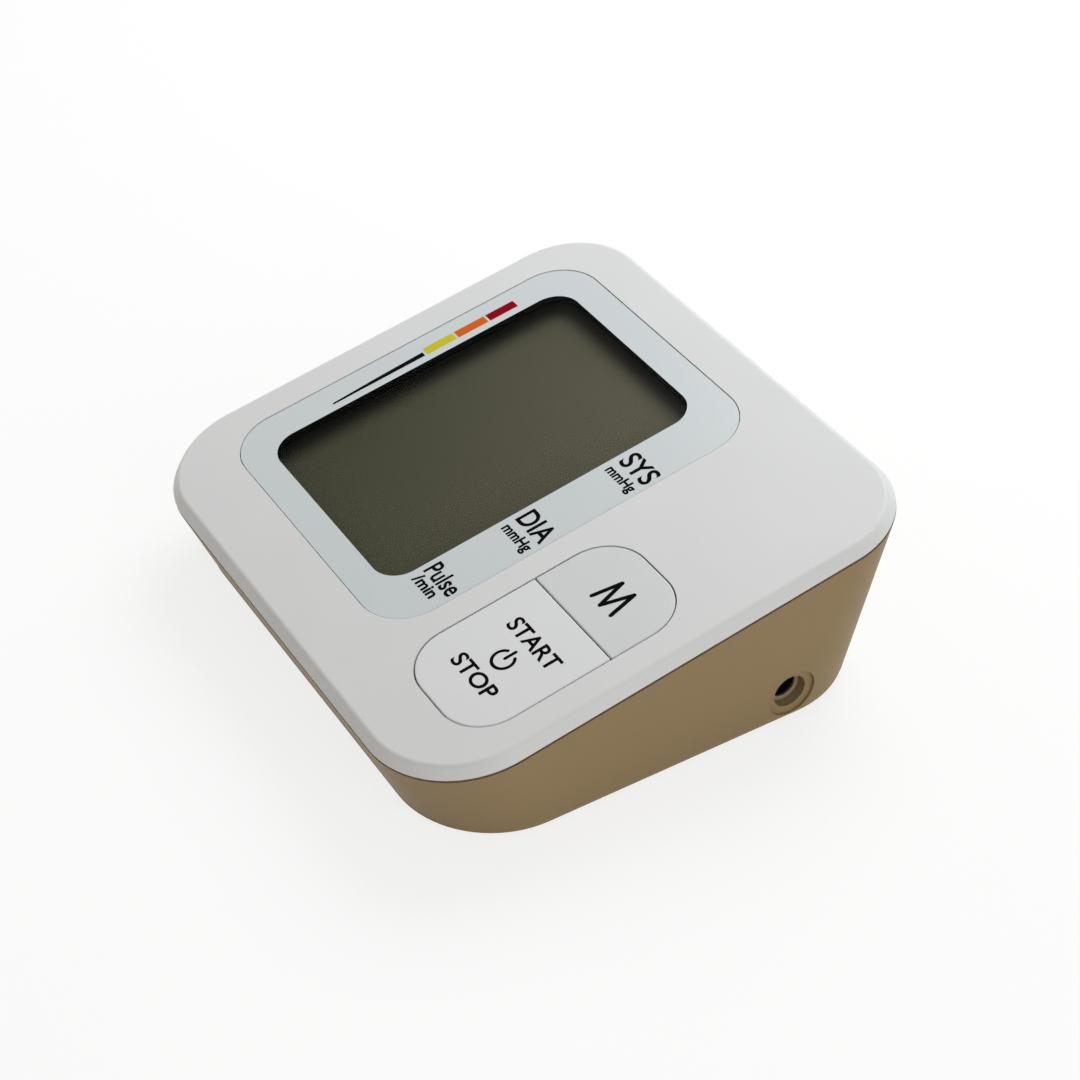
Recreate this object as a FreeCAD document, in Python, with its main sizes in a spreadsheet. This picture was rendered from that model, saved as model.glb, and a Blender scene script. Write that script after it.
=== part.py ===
"""Upper-arm blood pressure monitor: a wedge-shaped desk unit with a display and two keys.

Frame: +Z up, +X to the reader's right, +Y towards the thick rear edge, millimetres.
The origin lies on the table, under the centre of the unit.

Pieces that follow the sloping top are drawn in the panel frame: x and y along the panel, measured
from the centre of the cover's outline, and z along the panel's normal, 0 on the panel's face.
"""
import FreeCAD, Part
import os
import re

import Sketcher
from FreeCAD import Placement, Rotation, Vector

doc = FreeCAD.newDocument("arm_monitor")

SIZES = {
    # outline of the cover and the case, measured on the sloping top
    "case_width": 126.0,
    "case_depth": 118.8,
    "slope": 11.0,
    "front_corner": 21.6,
    "rear_corner": 18.5,
    # bevelled edge of the cover and the shadow seam under it
    "edge_drop": 2.5,
    "edge_inset": 1.6,
    "crease_round": 1.2,
    "seam": 0.6,
    "cover_skin": 2.2,
    "tongue_inset": 1.5,
    "tongue_width": 1.2,
    "tongue_drop": 2.1,
    "tongue_clearance": 0.15,
    # case: its walls lean in to a smaller foot
    "case_wall": 2.7,
    "floor_thickness": 2.2,
    "base_side_inset": 1.5,
    "base_front_inset": 6.4,
    "base_rear_inset": 5.5,
    "base_front_corner": 21.8,
    "base_rear_corner": 23.5,
    "base_round": 2.0,
    # rubber feet
    "foot_radius": 4.0,
    "foot_height": 0.8,
    "foot_sink": 1.0,
    "foot_front_side": 21.0,
    "foot_front_inset": 19.4,
    "foot_rear_side": 30.0,
    "foot_rear_inset": 15.0,
    # display window, and the opening under it
    "window_key_gap": 6.4,
    "window_depth": 90.3,
    "window_corner": 11.0,
    "window_margin": 9.2,
    "window_y": 2.58,
    "window_thickness": 1.25,
    "window_sink": 0.15,
    "window_gap": 0.2,
    "opening_left": 8.15,
    "opening_right": 12.15,
    "opening_depth": 76.4,
    "opening_corner": 6.3,
    "opening_shift_y": 0.2,
    # display glass and its frame
    "glass_margin": 3.0,
    "glass_depth": 3.6,
    "glass_thickness": 2.2,
    "glass_gap": 0.1,
    "frame_wall": 1.7,
    "frame_back": 1.2,
    "strip_width": 2.4,
    "strip_margin": 5.0,
    # keys
    "key_width": 27.9,
    "key_corner": 10.0,
    "key_side": 8.1,
    "key_front": 15.1,
    "start_depth": 32.35,
    "memory_depth": 19.65,
    "key_gap": 0.3,
    "key_skin": 1.5,
    "key_wall": 1.2,
    "key_lip": 0.8,
    "key_lip_height": 1.0,
    "key_lip_gap": 0.2,
    "key_round": 0.35,
    "key_travel": 0.6,
    # main board and the switches on it
    "board_depth": 8.5,
    "board_thickness": 1.6,
    "board_side": 6.0,
    "board_front": 17.9,
    "board_length": 51.5,
    "board_room": 0.15,
    "board_corner": 1.5,
    "switch_size": 6.0,
    "switch_height": 3.5,
    "plunger_radius": 1.7,
    "plunger_gap": 0.1,
    # screws: four hold the case to the cover, four hold the board
    "front_screw_gap": 7.7,
    "front_screw_inset": 10.5,
    "rear_screw_side": 8.7,
    "rear_screw_inset": 27.0,
    "boss_split": 12.0,
    "boss_seat": 3.0,
    "cover_boss_radius": 3.5,
    "case_boss_radius": 4.3,
    "case_screw_radius": 1.45,
    "case_screw_reach": 8.0,
    "case_screw_head_radius": 2.7,
    "case_screw_head_height": 2.0,
    "screw_slack": 0.05,
    "screw_hole_slack": 0.25,
    "screw_head_slack": 0.5,
    "board_screw_edge": 3.0,
    "board_screw_gap": 7.2,
    "board_screw_inset": 5.25,
    "board_boss_radius": 2.5,
    "board_screw_radius": 0.9,
    "board_screw_reach": 5.0,
    "board_screw_head_radius": 1.8,
    "board_screw_head_height": 1.3,
    # battery bay: four AA cells side by side
    "cell_radius": 7.25,
    "cell_length": 50.5,
    "cell_nub_radius": 2.75,
    "cell_nub_height": 1.0,
    "cell_round": 0.6,
    "cell_gap": 0.4,
    "cell_lift": 0.35,
    "bay_inlet_gap": 1.1,
    "bay_rear_inset": 21.4,
    "bay_wall": 1.6,
    "bay_ceiling": 1.4,
    "bay_head_room": 0.4,
    "contact_thickness": 0.4,
    "contact_height": 10.0,
    "contact_width": 10.0,
    "dimple_height": 1.4,
    "dimple_radius": 2.0,
    "spring_length": 2.3,
    "spring_wire": 0.7,
    "spring_radius": 4.0,
    "spring_turns": 2.0,
    "spring_taper": 20.0,
    "fin_width": 1.0,
    "fin_height": 2.5,
    # battery door, hooked at its front edge and latched at its rear edge
    "door_thickness": 1.8,
    "door_ledge": 1.5,
    "door_gap": 0.3,
    "door_corner": 2.0,
    "door_rib_width": 1.4,
    "door_rib_height": 3.2,
    "door_rib_spacing": 30.0,
    "hook_width": 6.0,
    "hook_reach": 2.0,
    "hook_thickness": 1.2,
    "hook_root": 1.2,
    "hook_slot_height": 3.0,
    "latch_width": 12.0,
    "latch_height": 7.2,
    "latch_wall": 1.0,
    "latch_bend": 0.7,
    "latch_room": 1.1,
    "latch_slack": 0.5,
    # power inlet in the right wall
    "inlet_inset": 32.3,
    "inlet_gap": 0.1,
    "inlet_dish_radius": 5.6,
    "inlet_dish_depth": 0.8,
    "inlet_hole_radius": 3.8,
    "inlet_snout_radius": 3.65,
    "inlet_snout_length": 1.5,
    "inlet_face_depth": 4.0,
    "inlet_bore_radius": 3.2,
    "inlet_bore_depth": 9.5,
    "inlet_pin_radius": 1.0,
    "inlet_pin_length": 8.5,
    "inlet_body_length": 11.0,
    "inlet_body_width": 9.0,
    "inlet_body_height": 9.8,
    "inlet_rib": 1.2,
    # air line, all at one height: socket in the left wall, junction, pump, valve and sensor
    "tube_board_gap": 0.75,
    "air_bay_gap": 4.4,
    "air_socket_radius": 4.5,
    "air_socket_slack": 0.1,
    "air_socket_bore_radius": 2.5,
    "air_socket_bore_depth": 7.5,
    "air_socket_back": 0.9,
    "air_socket_flange_radius": 6.5,
    "air_socket_flange": 1.2,
    "air_dish_radius": 6.5,
    "air_dish_depth": 0.8,
    "barb_radius": 1.6,
    "barb_bore": 0.8,
    "barb_length": 4.5,
    "tube_wall": 1.0,
    "tube_slack": 0.05,
    "nozzle_offset": 5.0,
    "junction_hub": 2.6,
    "junction_arm": 6.0,
    # pump: a diaphragm head in front of its motor
    "pump_bay_gap": 1.9,
    "pump_inset": 63.4,
    "pump_head_width": 20.0,
    "pump_head_height": 18.0,
    "pump_head_length": 18.0,
    "pump_head_corner": 2.5,
    "pump_middle_height": 12.5,
    "motor_radius": 10.2,
    "motor_flat_height": 15.4,
    "motor_length": 25.0,
    "motor_boss_radius": 3.0,
    "motor_boss_length": 1.6,
    "shaft_radius": 1.0,
    "crank_radius": 5.0,
    "crank_length": 3.0,
    "crank_room_radius": 6.0,
    "crank_room_length": 8.0,
    "crank_pin_radius": 0.75,
    "crank_pin_offset": 2.2,
    "crank_pin_length": 3.0,
    "cradle_rib": 1.2,
    "cradle_height": 9.0,
    "cradle_gap": 0.4,
    # release valve
    "valve_size": 12.0,
    "valve_post_gap": 1.0,
    "nozzle_gap": 1.0,
    "valve_core_radius": 2.0,
    "valve_core_length": 5.0,
    "valve_core_room": 0.3,
    "valve_stroke": 0.8,
    # pressure sensor under the board
    "sensor_size": 7.0,
    "sensor_height": 8.5,
    "sensor_port": 3.0,
}

sheet = doc.addObject("Spreadsheet::Sheet", "Sizes")
for row, (alias, value) in enumerate(SIZES.items(), start=1):
    sheet.set(f"A{row}", alias)
    sheet.set(f"B{row}", str(value))
    sheet.setAlias(f"B{row}", alias)
doc.recompute()

# sizes that follow from the sheet
# outline and frame
PANEL_Y = "(-(edge_drop + seam / 2) * sin(slope))"
RIM_DROP = "(edge_drop + seam)"
RIM_FRONT = f"({PANEL_Y} - case_depth / 2 * cos(slope) + {RIM_DROP} * sin(slope))"
RIM_REAR = f"({PANEL_Y} + case_depth / 2 * cos(slope) + {RIM_DROP} * sin(slope))"
BASE_FRONT = f"({RIM_FRONT} + base_front_inset)"
BASE_REAR = f"({RIM_REAR} - base_rear_inset)"
BASE_WIDTH = "(case_width - 2 * base_side_inset)"
FLOOR_TOP = "(foot_height + floor_thickness)"
WALL_FOOT = "(foot_height + base_round)"
TONGUE_FOOT = "(edge_drop + tongue_drop)"
WALL_X = "(case_width / 2 - base_side_inset)"
# display, keys and board
WINDOW_WIDTH = "(case_width - window_margin - window_key_gap - key_width - key_side)"
WINDOW_X = f"(window_margin + {WINDOW_WIDTH} / 2 - case_width / 2)"
OPENING_WIDTH = f"({WINDOW_WIDTH} - opening_left - opening_right)"
OPENING_X = f"({WINDOW_X} + (opening_left - opening_right) / 2)"
OPENING_Y = "(window_y - opening_shift_y)"
KEY_X = "(case_width / 2 - key_side - key_width / 2)"
BOARD_FACE = "(board_depth + board_thickness)"
BOARD_WIDTH = "(case_width - 2 * board_side)"
BOARD_FRONT = "(board_front - case_depth / 2)"
BOARD_REAR = f"({BOARD_FRONT} + board_length)"
GLASS_WIDTH = f"({OPENING_WIDTH} + 2 * glass_margin)"
GLASS_DEPTH = "(opening_depth + 2 * glass_margin)"
GLASS_BACK = "(glass_depth + glass_thickness)"
STRIP_LENGTH = f"({GLASS_WIDTH} - 2 * strip_margin)"
STRIP_Y = f"({OPENING_Y} - {GLASS_DEPTH} / 2 + strip_width)"
KEY_FRONT = "(key_front - case_depth / 2)"
KEY_SPLIT = f"({KEY_FRONT} + start_depth)"
KEY_REAR = f"({KEY_SPLIT} + memory_depth)"
LIP_TOP = "(cover_skin + key_lip_gap)"
LIP_FOOT = f"({LIP_TOP} + key_lip_height)"
SWITCH_TOP = "(board_depth - switch_height)"
# battery bay
CELL_PITCH = "(2 * cell_radius + cell_gap)"
BAY_WIDTH = f"(4 * {CELL_PITCH})"
BAY_DEPTH = "(cell_length + contact_thickness * 2 + spring_length + dimple_height)"
BAY_REAR = "(case_depth / 2 - bay_rear_inset)"
BAY_FRONT = f"({BAY_REAR} - {BAY_DEPTH})"
INLET_ROOM = "(inlet_face_depth + inlet_snout_length + inlet_body_length + bay_inlet_gap)"
BAY_X = f"({WALL_X} - {INLET_ROOM} - bay_wall - {BAY_WIDTH} / 2)"
DOOR_TOP = "(foot_height + door_thickness)"
CELL_Z = f"({DOOR_TOP} + cell_lift + cell_radius)"
BAY_ROOF = f"({CELL_Z} + cell_radius + bay_head_room)"
DOOR_WIDTH = f"({BAY_WIDTH} + 2 * door_ledge - 2 * door_gap)"
DOOR_DEPTH = f"({BAY_DEPTH} + 2 * door_ledge - 2 * door_gap)"
BAY_MIDDLE = f"({BAY_FRONT} + {BAY_DEPTH} / 2)"
# the panel is as high as the bay and the board above it need
PANEL_HEIGHT = (f"({BAY_ROOF} + bay_ceiling + board_room + {BOARD_FACE} / cos(slope)"
                f" - ({BAY_FRONT} - bay_wall - {PANEL_Y}) * tan(slope))")
# inlet, pump and air line
INLET_Y = "(case_depth / 2 - inlet_inset)"
INLET_Z = f"({FLOOR_TOP} + inlet_gap + inlet_body_height / 2)"
AIR_Y = f"({BAY_FRONT} - bay_wall - air_bay_gap)"
PUMP_X = f"({BAY_X} - {BAY_WIDTH} / 2 - bay_wall - pump_bay_gap - motor_radius)"
PUMP_FRONT = "(case_depth / 2 - pump_inset)"
TUBE_RADIUS = "(barb_radius + tube_slack + tube_wall)"
VALVE_NOZZLE = "(barb_length - 0.5)"
VALVE_FACE = f"({AIR_Y} - junction_arm - nozzle_gap - {VALVE_NOZZLE})"
VALVE_FRONT = f"({VALVE_FACE} - valve_size)"
# the air line runs just under the board, which is lowest over the valve's face
AIR_Z = (f"({PANEL_HEIGHT} + ({VALVE_FACE} - {PANEL_Y}) * tan(slope) - {BOARD_FACE} / cos(slope)"
         f" - tube_board_gap - {TUBE_RADIUS})")


def full(expression):
    """Write the sheet's name in front of each alias."""
    def with_sheet(match):
        word = match.group(0)
        return "Sizes." + word if word in SIZES else word
    return re.sub(r"[a-z_]+", with_sheet, expression)


def number(expression):
    """Value of an expression in the sheet's sizes."""
    return float(sheet.evalExpression(full(expression)))


def bind(thing, prop, expression):
    thing.setExpression(prop, full(expression))


def panel_point(y, z):
    """Height and depth, in the part's frame, of a point that is given in the panel frame."""
    across = f"({PANEL_Y} + ({y}) * cos(slope) - ({z}) * sin(slope))"
    height = f"({PANEL_HEIGHT} + ({y}) * sin(slope) + ({z}) * cos(slope))"
    return across, height


def in_panel(y, z):
    """Panel coordinates of a point that is given in the part's frame."""
    along = f"((({y}) - {PANEL_Y}) * cos(slope) + (({z}) - {PANEL_HEIGHT}) * sin(slope))"
    normal = f"(-(({y}) - {PANEL_Y}) * sin(slope) + (({z}) - {PANEL_HEIGHT}) * cos(slope))"
    return along, normal


RIM_Y, RIM_Z = panel_point("0", f"-{RIM_DROP}")


def wall_at(y, z):
    """Outer face of the side wall, at a depth y and a height z."""
    share = f"((({z}) - {WALL_FOOT}) / ({RIM_Z} + (({y}) - {RIM_Y}) * tan(slope) - {WALL_FOOT}))"
    return f"({WALL_X} + base_side_inset * {share})"


INLET_WALL = wall_at(INLET_Y, INLET_Z)
INLET_FACE = f"({INLET_WALL} - inlet_face_depth)"
INLET_FRONT = f"({INLET_FACE} - inlet_snout_length)"
AIR_WALL = wall_at(AIR_Y, AIR_Z)
AIR_INNER_END = f"(-({AIR_WALL} - air_dish_depth) + air_socket_bore_depth + air_socket_back + barb_length)"
# the junction stands in line with the pump's nozzle, and clear of the socket
JUNCTION_X = f"max({PUMP_X} - nozzle_offset; {AIR_INNER_END} + junction_arm + nozzle_gap)"
SENSOR_FACE = f"({JUNCTION_X} + junction_arm + nozzle_gap / 2 + sensor_port)"
SENSOR_X = f"({SENSOR_FACE} + sensor_size / 2)"


def new_body(label, on_panel=False):
    body = doc.addObject("PartDesign::Body", label)
    body.Label = label
    if on_panel:
        body.Placement = Placement(Vector(), Rotation(Vector(1, 0, 0), number("slope")))
        bind(body, "Placement.Base.y", PANEL_Y)
        bind(body, "Placement.Base.z", PANEL_HEIGHT)
        bind(body, "Placement.Rotation.Angle", "slope")
    return body


def new_sketch(body, name, plane="XY_Plane", x="0", y="0", z="0", lean=None):
    """Sketch on one of the body's own planes, moved by x, y, z in that plane's axes."""
    sketch = body.newObject("Sketcher::SketchObject", name)
    support = next(f for f in body.Origin.OriginFeatures if f.Role == plane)
    sketch.AttachmentSupport = [(support, "")]
    sketch.MapMode = "FlatFace"
    if lean is not None:
        sketch.AttachmentOffset = Placement(Vector(), Rotation(Vector(1, 0, 0), number(lean)))
        bind(sketch, "AttachmentOffset.Rotation.Angle", lean)
    for axis, value in (("x", x), ("y", y), ("z", z)):
        if value != "0":
            bind(sketch, f"AttachmentOffset.Base.{axis}", value)
    return sketch


def fix(sketch, geometry, point, x, y):
    """Hold a point of the sketch at x, y from the sketch's origin."""
    for kind, value in (("DistanceX", x), ("DistanceY", y)):
        amount = number(value)
        if amount >= 0:
            rule = Sketcher.Constraint(kind, -1, 1, geometry, point, amount)
            index = sketch.addConstraint(rule)
            bind(sketch, f"Constraints[{index}]", value)
        else:
            rule = Sketcher.Constraint(kind, geometry, point, -1, 1, -amount)
            index = sketch.addConstraint(rule)
            bind(sketch, f"Constraints[{index}]", f"-({value})")


def circle(sketch, radius, x="0", y="0"):
    centre = Vector(number(x), number(y), 0)
    index = sketch.addGeometry(Part.Circle(centre, Vector(0, 0, 1), number(radius)), False)
    rule = sketch.addConstraint(Sketcher.Constraint("Radius", index, number(radius)))
    bind(sketch, f"Constraints[{rule}]", radius)
    if x == "0" and y == "0":
        sketch.addConstraint(Sketcher.Constraint("Coincident", index, 3, -1, 1))
    else:
        fix(sketch, index, 3, x, y)


def outline(sketch, points):
    """Closed run of straight lines through points given as pairs of expressions."""
    places = [Vector(number(x), number(y), 0) for x, y in points]
    first = sketch.GeometryCount
    count = len(points)
    for i in range(count):
        sketch.addGeometry(Part.LineSegment(places[i], places[(i + 1) % count]), False)
    for i in range(count):
        end = Sketcher.Constraint("Coincident", first + i, 2, first + (i + 1) % count, 1)
        sketch.addConstraint(end)
    for i, (x, y) in enumerate(points):
        fix(sketch, first + i, 1, x, y)


def rectangle(sketch, width, depth):
    """Square-cornered rectangle about the sketch's origin."""
    half_x, half_y = f"({width}) / 2", f"({depth}) / 2"
    outline(sketch, [(f"-({half_x})", f"-({half_y})"), (half_x, f"-({half_y})"),
                     (half_x, half_y), (f"-({half_x})", half_y)])


def soft_rectangle(sketch, width, depth, near, far=None):
    """Rectangle about the sketch's origin, with one corner radius at -y and one at +y."""
    far = near if far is None else far
    w, d = number(width) / 2, number(depth) / 2
    rn, rf = number(near), number(far)
    up = Vector(0, 0, 1)
    quarter = 1.5707963267948966
    line = Part.LineSegment

    def corner(x, y, radius, quadrant):
        return Part.ArcOfCircle(Part.Circle(Vector(x, y, 0), up, radius),
                                quadrant * quarter, (quadrant + 1) * quarter)

    sketch.addGeometry([
        line(Vector(-w + rn, -d, 0), Vector(w - rn, -d, 0)), corner(w - rn, -d + rn, rn, 3),
        line(Vector(w, -d + rn, 0), Vector(w, d - rf, 0)), corner(w - rf, d - rf, rf, 0),
        line(Vector(w - rf, d, 0), Vector(-w + rf, d, 0)), corner(-w + rf, d - rf, rf, 1),
        line(Vector(-w, d - rf, 0), Vector(-w, -d + rn, 0)), corner(-w + rn, -d + rn, rn, 2)], False)
    for i in range(8):
        sketch.addConstraint(Sketcher.Constraint("Tangent", i, 2, (i + 1) % 8, 1))
    sketch.addConstraint([Sketcher.Constraint("Horizontal", 0), Sketcher.Constraint("Horizontal", 4),
                          Sketcher.Constraint("Vertical", 2), Sketcher.Constraint("Vertical", 6),
                          Sketcher.Constraint("Equal", 1, 7), Sketcher.Constraint("Equal", 3, 5)])
    rules = (("Radius", (1,), rn, near), ("Radius", (3,), rf, far),
             ("DistanceX", (-1, 1, 2, 1), w, f"({width}) / 2"),
             ("DistanceX", (6, 1, -1, 1), w, f"({width}) / 2"),
             ("DistanceY", (-1, 1, 4, 1), d, f"({depth}) / 2"),
             ("DistanceY", (0, 1, -1, 1), d, f"({depth}) / 2"))
    for kind, ends, amount, expression in rules:
        index = sketch.addConstraint(Sketcher.Constraint(kind, *ends, amount))
        bind(sketch, f"Constraints[{index}]", expression)


def volume(body):
    return body.Shape.Volume if body.Tip is not None and not body.Shape.isNull() else 0.0


def feature(body, kind, name, grows, **settings):
    """Add a feature, work it out at once and make sure that it did change the solid."""
    before = volume(body)
    thing = body.newObject(kind, name)
    expressions = settings.pop("expressions", {})
    for prop, value in settings.items():
        setattr(thing, prop, value)
    for prop, expression in expressions.items():
        bind(thing, prop, expression)
    doc.recompute()
    after = volume(body)
    if (after <= before) if grows else not 0 < after < before:
        raise RuntimeError(f"{body.Label}: {name} changed nothing ({before:.2f} to {after:.2f})")
    return thing


def pad(body, sketch, length, down=False):
    return feature(body, "PartDesign::Pad", sketch.Name + "_pad", True,
                   Profile=sketch, Reversed=down, expressions={"Length": length})


def pocket(body, sketch, length, up=False):
    return feature(body, "PartDesign::Pocket", sketch.Name + "_pocket", False,
                   Profile=sketch, Reversed=up, expressions={"Length": length})


def turn(body, sketch, cut=False):
    """Revolve a sketch about its own vertical axis."""
    kind = "PartDesign::Groove" if cut else "PartDesign::Revolution"
    return feature(body, kind, sketch.Name + "_turn", not cut,
                   Profile=sketch, ReferenceAxis=(sketch, ["V_Axis"]), Angle=360.0)


def loft(body, lower, upper, cut=False):
    kind = "PartDesign::SubtractiveLoft" if cut else "PartDesign::AdditiveLoft"
    return feature(body, kind, lower.Name + "_loft", not cut,
                   Profile=lower, Sections=[upper], Ruled=True)


def round_edges(body, name, radius, chosen, grows=False):
    """Fillet the edges of the body's tip for which chosen(edge) is true."""
    base = body.Tip
    picked = [f"Edge{i}" for i, edge in enumerate(base.Shape.Edges, start=1) if chosen(edge)]
    return feature(body, "PartDesign::Fillet", name, grows,
                   Base=(base, picked), expressions={"Radius": radius})


def flat_at(level, slack=0.01):
    """Choose the edges that lie at one height of the body's own frame."""
    def chosen(edge):
        box = edge.BoundBox
        return abs(box.ZMin - level) < slack and abs(box.ZMax - level) < slack
    return chosen


def group(label, pieces):
    """One node that holds several separate solids."""
    compound = doc.addObject("Part::Compound", label)
    compound.Label = label
    compound.Links = pieces
    doc.recompute()
    return compound


NODES = []


def keep(piece):
    NODES.append(piece)
    return piece


# ---------------------------------------------------------------- top cover
BESIDE_KEYS = f"({KEY_X} - key_width / 2 - front_screw_gap)"
BESIDE_VALVE = f"(-{JUNCTION_X} - valve_size / 2 - valve_post_gap - case_boss_radius)"
CASE_SCREWS = {
    "front": (f"(min({BESIDE_KEYS}; {BESIDE_VALVE}))", "(front_screw_inset - case_depth / 2)"),
    "rear": ("(case_width / 2 - rear_screw_side)", "(case_depth / 2 - rear_screw_inset)"),
}


def case_screw_places():
    """Screw axes in the panel frame: two by the front wall, two by the rear corners."""
    return [(f"{side}{x}", y) for x, y in CASE_SCREWS.values() for side in ("-", "")]


def board_screw_places():
    left, right = f"(board_screw_edge - {BOARD_WIDTH} / 2)", f"({KEY_X} - key_width / 2 - board_screw_gap)"
    front, rear = f"({BOARD_FRONT} + board_screw_inset)", f"({BOARD_REAR} - board_screw_inset)"
    return [(x, y) for y in (front, rear) for x in (left, right)]


def make_top_cover():
    body = new_body("top_cover", on_panel=True)

    foot = new_sketch(body, "cover_outline", z="-edge_drop")
    soft_rectangle(foot, "case_width", "case_depth", "front_corner", "rear_corner")
    crease = new_sketch(body, "cover_crease")
    soft_rectangle(crease, "case_width - 2 * edge_inset", "case_depth - 2 * edge_inset",
                   "front_corner - edge_inset", "rear_corner - edge_inset")
    loft(body, foot, crease)
    round_edges(body, "crease_fillet", "crease_round", flat_at(0.0))

    tongue = new_sketch(body, "cover_tongue", z="-edge_drop")
    soft_rectangle(tongue, "case_width - 2 * tongue_inset", "case_depth - 2 * tongue_inset",
                   "front_corner - tongue_inset", "rear_corner - tongue_inset")
    pad(body, tongue, "tongue_drop", down=True)

    inset = "(tongue_inset + tongue_width)"
    hollow = new_sketch(body, "cover_hollow", z=f"-{TONGUE_FOOT}")
    soft_rectangle(hollow, f"case_width - 2 * {inset}", f"case_depth - 2 * {inset}",
                   f"front_corner - {inset}", f"rear_corner - {inset}")
    pocket(body, hollow, f"{TONGUE_FOOT} - cover_skin", up=True)

    # bosses for the case screws, board posts, and ribs that hold the display frame and the keys
    bosses = new_sketch(body, "cover_bosses", z="-cover_skin")
    for x, y in case_screw_places():
        circle(bosses, "cover_boss_radius", x, y)
    pad(body, bosses, "boss_split - cover_skin", down=True)
    posts = new_sketch(body, "board_posts", z="-cover_skin")
    for x, y in board_screw_places():
        circle(posts, "board_boss_radius", x, y)
    pad(body, posts, "board_depth - cover_skin", down=True)

    rib = new_sketch(body, "key_rib", x=KEY_X, y=f"({KEY_FRONT} + {KEY_REAR}) / 2", z="-cover_skin")
    reach = "(key_gap + key_lip + 0.6)"
    block = f"({KEY_REAR} - {KEY_FRONT})"
    soft_rectangle(rib, f"key_width + 2 * ({reach} + key_wall)", f"{block} + 2 * ({reach} + key_wall)",
                   f"key_corner + {reach} + key_wall")
    pad(body, rib, "2 * key_lip_height", down=True)
    well = new_sketch(body, "key_well", x=KEY_X, y=f"({KEY_FRONT} + {KEY_REAR}) / 2",
                      z="-(cover_skin + 2 * key_lip_height)")
    soft_rectangle(well, f"key_width + 2 * {reach}", f"{block} + 2 * {reach}", f"key_corner + {reach}")
    pocket(body, well, "2 * key_lip_height", up=True)
    mouth = new_sketch(body, "key_opening", x=KEY_X, y=f"({KEY_FRONT} + {KEY_REAR}) / 2")
    soft_rectangle(mouth, "key_width + 2 * key_gap", f"{block} + 2 * key_gap", "key_corner + key_gap")
    pocket(body, mouth, "cover_skin + key_lip_height")

    recess = new_sketch(body, "window_recess", x=WINDOW_X, y="window_y")
    soft_rectangle(recess, f"{WINDOW_WIDTH} + 2 * window_gap", "window_depth + 2 * window_gap",
                   "window_corner + window_gap")
    pocket(body, recess, "window_thickness + window_sink")
    sight = new_sketch(body, "display_opening", x=OPENING_X, y=OPENING_Y)
    soft_rectangle(sight, OPENING_WIDTH, "opening_depth", "opening_corner")
    pocket(body, sight, "2 * cover_skin")

    pilots = new_sketch(body, "screw_pilots", z="-boss_split")
    for x, y in case_screw_places():
        circle(pilots, "case_screw_radius + screw_slack", x, y)
    pocket(body, pilots, "case_screw_reach + 1.0", up=True)
    board_pilots = new_sketch(body, "board_pilots", z="-board_depth")
    for x, y in board_screw_places():
        circle(board_pilots, "board_screw_radius + screw_slack", x, y)
    pocket(body, board_pilots, "board_screw_reach + 0.5", up=True)
    return body


# ---------------------------------------------------------------- display
def make_display_window():
    body = new_body("display_window", on_panel=True)
    plate = new_sketch(body, "window_plate", x=WINDOW_X, y="window_y",
                       z="-(window_sink + window_thickness)")
    soft_rectangle(plate, WINDOW_WIDTH, "window_depth", "window_corner")
    pad(body, plate, "window_thickness")
    return body


def make_lcd_panel():
    body = new_body("lcd_panel", on_panel=True)
    plate = new_sketch(body, "glass_plate", x=OPENING_X, y=OPENING_Y, z=f"-{GLASS_BACK}")
    rectangle(plate, GLASS_WIDTH, GLASS_DEPTH)
    pad(body, plate, "glass_thickness")
    return body


def make_lcd_frame():
    body = new_body("lcd_frame", on_panel=True)
    block = new_sketch(body, "frame_block", x=OPENING_X, y=OPENING_Y, z=f"-({GLASS_BACK} + frame_back)")
    soft_rectangle(block, f"{GLASS_WIDTH} + 2 * frame_wall", f"{GLASS_DEPTH} + 2 * frame_wall", "frame_wall")
    pad(body, block, f"{GLASS_BACK} + frame_back - cover_skin")
    seat = new_sketch(body, "frame_seat", x=OPENING_X, y=OPENING_Y, z="-cover_skin")
    rectangle(seat, f"{GLASS_WIDTH} + 2 * glass_gap", f"{GLASS_DEPTH} + 2 * glass_gap")
    pocket(body, seat, f"{GLASS_BACK} - cover_skin")
    slot = new_sketch(body, "strip_slot", x=OPENING_X, y=STRIP_Y, z=f"-{GLASS_BACK}")
    rectangle(slot, f"{STRIP_LENGTH} + 2 * glass_gap", "strip_width + 2 * glass_gap")
    pocket(body, slot, "2 * frame_back")
    return body


def make_contact_strip():
    body = new_body("lcd_contact_strip", on_panel=True)
    bar = new_sketch(body, "strip_bar", x=OPENING_X, y=STRIP_Y, z="-board_depth")
    rectangle(bar, STRIP_LENGTH, "strip_width")
    pad(body, bar, f"board_depth - {GLASS_BACK}")
    return body


# ---------------------------------------------------------------- keys and their switches
KEYS = {
    "start_stop": ("start_depth", f"({KEY_SPLIT} - start_depth / 2)", "key_corner", "key_round", "-"),
    "memory": ("memory_depth", f"({KEY_SPLIT} + memory_depth / 2)", "key_round", "key_corner", "+"),
}


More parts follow.
